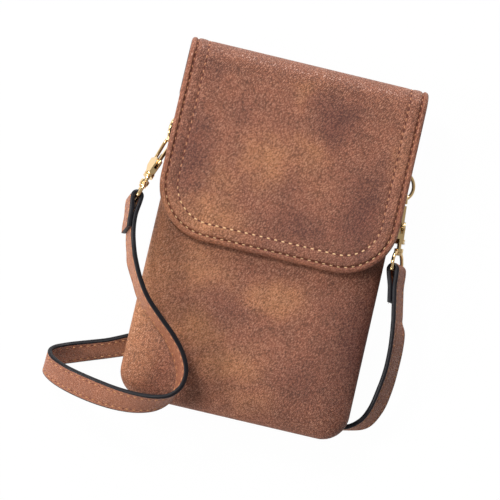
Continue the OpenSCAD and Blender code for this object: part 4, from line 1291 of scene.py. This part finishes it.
class POUCH_OT_metal(Operator):
    """Finishes the rings, clasps, pins, springs and the snap"""

    bl_idname = "pouch.metal"
    bl_label = "Metal parts"

    def execute(self, context):
        colours = context.scene.pouch_colours
        fine = {"height": 0.00002, "metallic": 1.0}
        gold = plain("gold_plating", colours.gold, 0.16, 300.0, 0.04, strength=0.08, **fine)
        steel = plain("bright_steel", colours.steel, 0.3, 900.0, 0.06, strength=0.15, **fine)
        for side in ("left", "right"):
            for part in ("ring", "claw", "gate", "eye"):
                self.finish(side + "_" + part, gold, PLATED_EDGE)
            for part in ("gate_pin", "gate_spring"):
                self.finish(side + "_" + part, steel, WIRE_EDGE)
        for node in ("snap_stud", "snap_stud_washer", "snap_magnet", "snap_magnet_washer"):
            self.finish(node, steel, SNAP_EDGE)
        return {"FINISHED"}

    def finish(self, node, material, width):
        """Gives a node its metal and breaks its sharp edges."""
        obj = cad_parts[node]
        set_material(obj, material)
        weld = obj.modifiers.new("Joined corners", "WELD")
        weld.merge_threshold = MERGE_WITHIN
        bevel = obj.modifiers.new("Broken edges", "BEVEL")
        bevel.width, bevel.segments, bevel.limit_method = width, 2, "ANGLE"
        bevel.angle_limit = math.radians(SHARP_EDGE)


def set_material(obj, material):
    """Puts one material in every slot."""
    if not obj.material_slots:
        obj.data.materials.append(material)
    for slot in obj.material_slots:
        slot.material = material


class POUCH_OT_inner(Operator):
    """Finishes the tabs, the flap's lining and its board"""

    bl_idname = "pouch.inner"
    bl_label = "Inner pieces"

    def execute(self, context):
        colours = context.scene.pouch_colours
        dark = inside_leather(context)
        card = plain("card_board", colours.board, 0.9, 800.0, 0.12, strength=0.3, height=0.0001)
        for node, material in (
            ("left_ring_tab", dark), ("right_ring_tab", dark), ("flap_lining", dark), ("flap_board", card),
        ):
            set_material(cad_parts[node], material)
        return {"FINISHED"}


# Each soft lamp: name, place, width, power and tint
LAMPS = (
    ("Key", (-0.95, 0.75, 1.45), 0.45, 24.0, (1.0, 0.99, 0.975)),
    ("Sheen", (-1.25, -0.35, 0.85), 0.4, 15.0, (1.0, 0.99, 0.98)),
    ("Front", (-0.8, -1.4, 0.35), 0.9, 9.0, (1.0, 1.0, 1.0)),
    ("Top", (0.1, 1.6, 0.6), 0.6, 22.0, (0.97, 0.98, 1.0)),
)
# Place that the lamps look at
LIT_PLACE = Vector((0, 0, 0.02))
# Half width of the floor and how far it lies under the part
FLOOR_HALF, FLOOR_DROP = 3, 0.0002
# Share of the floor that a camera sees as plain white, the rest being what the lamps light, and
# the floor's own colour and roughness under them
FLOOR_WHITE_SHARE, FLOOR_COLOUR, FLOOR_ROUGH = 0.985, (0.86, 0.86, 0.86, 1), 0.7
# Strength of the white world for soft light, for the camera and, beside it, in mirrors
WORLD_LIGHT, WORLD_SEEN, WORLD_MIRRORED = 0.2, 1.0, 0.25
# What the camera looks at, and from how far
CAMERA_TARGET, CAMERA_FAR = Vector((-0.00906, -0.00698, 0.0233)), 1.5
# How the camera leans off straight down, left and towards the pouch's foot, and how it is rolled,
# in degrees
CAMERA_YAW, CAMERA_PITCH, CAMERA_ROLL = 3, 6, 13
# Width of the camera's sensor and its lens, in millimetres
CAMERA_SENSOR, CAMERA_LENS = 36, 210.4


class POUCH_OT_stage(Operator):
    """Sets the pale floor, the soft lights, the world and the camera"""

    bl_idname = "pouch.stage"
    bl_label = "Stage"

    def execute(self, context):
        self.floor()
        self.world(context)
        for name, place, size, power, tint in LAMPS:
            self.lamp(name, place, size, power, tint)
        self.camera()
        return {"FINISHED"}

    def floor(self):
        """A wide white floor that a camera sees as white but for the object's shadow."""
        line = np.linspace(-FLOOR_HALF, FLOOR_HALF, 3)
        x, y = np.meshgrid(line, line, indexing="ij")
        mesh = bpy.data.meshes.new("floor")
        corners, faces, _ = patch(np.stack([x, y, np.full_like(x, -FLOOR_DROP)], axis=-1))
        mesh.from_pydata(corners.tolist(), [], faces[:, ::-1].tolist())
        floor = bpy.data.objects.new("floor", mesh)
        bpy.context.scene.collection.objects.link(floor)
        material, tree, shader, _ = start_material("white_floor")
        shader.inputs["Base Color"].default_value = FLOOR_COLOUR
        shader.inputs["Roughness"].default_value = FLOOR_ROUGH
        glow = put(tree, "Emission", {"Color": (1, 1, 1, 1), "Strength": 1.0}).outputs[0]
        rays = put(tree, "LightPath").outputs
        seen = maths(tree, "MAXIMUM", rays["Is Camera Ray"], rays["Is Transmission Ray"])
        share = maths(tree, "MULTIPLY", seen, FLOOR_WHITE_SHARE)
        mixed = put(tree, "MixShader", {0: share, 1: shader.outputs[0], 2: glow}).outputs[0]
        output = [n for n in tree.nodes if n.bl_idname == "ShaderNodeOutputMaterial"][0]
        tree.links.new(mixed, output.inputs[0])
        mesh.materials.append(material)

    def world(self, context):
        """A white world: weak as soft light, and full where the camera sees it."""
        world = bpy.data.worlds.new("studio")
        context.scene.world = world
        world.use_nodes = True
        tree = world.node_tree
        tree.nodes.clear()
        rays = put(tree, "LightPath").outputs
        seen = maths(tree, "MAXIMUM", rays["Is Camera Ray"], rays["Is Transmission Ray"])
        mirrored = maths(tree, "MULTIPLY", rays["Is Glossy Ray"], WORLD_MIRRORED)
        plain_light = ramp(tree, seen, 0.0, 1.0, WORLD_LIGHT, WORLD_SEEN)
        strength = maths(tree, "ADD", mirrored, plain_light)
        sky = put(tree, "Background", {"Color": (1, 1, 1, 1), "Strength": strength}).outputs[0]
        tree.links.new(sky, put(tree, "OutputWorld").inputs[0])

    def lamp(self, name, place, size, power, tint):
        """A round soft lamp that looks at the pouch."""
        data = bpy.data.lights.new(name, "AREA")
        data.shape, data.size, data.energy, data.color = "DISK", size, power, tint
        lamp = bpy.data.objects.new(name, data)
        bpy.context.scene.collection.objects.link(lamp)
        lamp.location = place
        lamp.rotation_euler = (LIT_PLACE - Vector(place)).to_track_quat("-Z", "Y").to_euler()

    def camera(self):
        """Looks almost straight down at the pouch, turned so that the pouch leans to the right."""
        data = bpy.data.cameras.new("camera")
        data.sensor_width, data.lens = CAMERA_SENSOR, CAMERA_LENS
        data.clip_start, data.clip_end = 0.05, 20
        camera = bpy.data.objects.new("camera", data)
        bpy.context.scene.collection.objects.link(camera)
        yaw, pitch, roll = (math.radians(a) for a in (CAMERA_YAW, CAMERA_PITCH, CAMERA_ROLL))
        back = Vector((-math.tan(yaw), -math.tan(pitch), 1)).normalized()
        up = Vector((-math.sin(roll), math.cos(roll), 0))
        right = up.cross(back).normalized()
        up = back.cross(right)
        turned = Matrix((right, up, back)).transposed().to_4x4()
        camera.matrix_world = Matrix.Translation(CAMERA_TARGET + back * CAMERA_FAR) @ turned
        bpy.context.scene.camera = camera


class POUCH_PT_sidebar(Panel):
    """Lists the pouch's pieces, sizes and colours"""

    bl_idname = "POUCH_PT_sidebar"
    bl_label = "Phone pouch"
    bl_space_type = "VIEW_3D"
    bl_region_type = "UI"
    bl_category = "Pouch"

    def draw(self, context):
        for operator in OPERATORS:
            self.layout.operator(operator.bl_idname)
        for key in SETTINGS:
            group = getattr(context.scene, key)
            box = self.layout.box()
            for label in group.__class__.__annotations__:
                box.prop(group, label)


SETTINGS = {
    "pouch_shell": PouchShellSizes,
    "pouch_flap": PouchFlapSizes,
    "pouch_stitch": PouchStitchSizes,
    "pouch_strap": PouchStrapSizes,
    "pouch_colours": PouchColours,
}
OPERATORS = (POUCH_OT_body, POUCH_OT_flap, POUCH_OT_strap, POUCH_OT_metal, POUCH_OT_inner, POUCH_OT_stage)


def register():
    for cls in (*SETTINGS.values(), *OPERATORS, POUCH_PT_sidebar):
        bpy.utils.register_class(cls)
    for key, cls in SETTINGS.items():
        setattr(bpy.types.Scene, key, PointerProperty(type=cls))


def unregister():
    for key in SETTINGS:
        delattr(bpy.types.Scene, key)
    for cls in (POUCH_PT_sidebar, *reversed(OPERATORS), *SETTINGS.values()):
        bpy.utils.unregister_class(cls)


def main():
    register()
    bpy.context.scene.view_settings.view_transform = "Standard"
    bpy.ops.pouch.stage()
    bpy.ops.pouch.body()
    bpy.ops.pouch.flap()
    bpy.ops.pouch.strap()
    bpy.ops.pouch.metal()
    bpy.ops.pouch.inner()


if __name__ == "__main__":
    main()
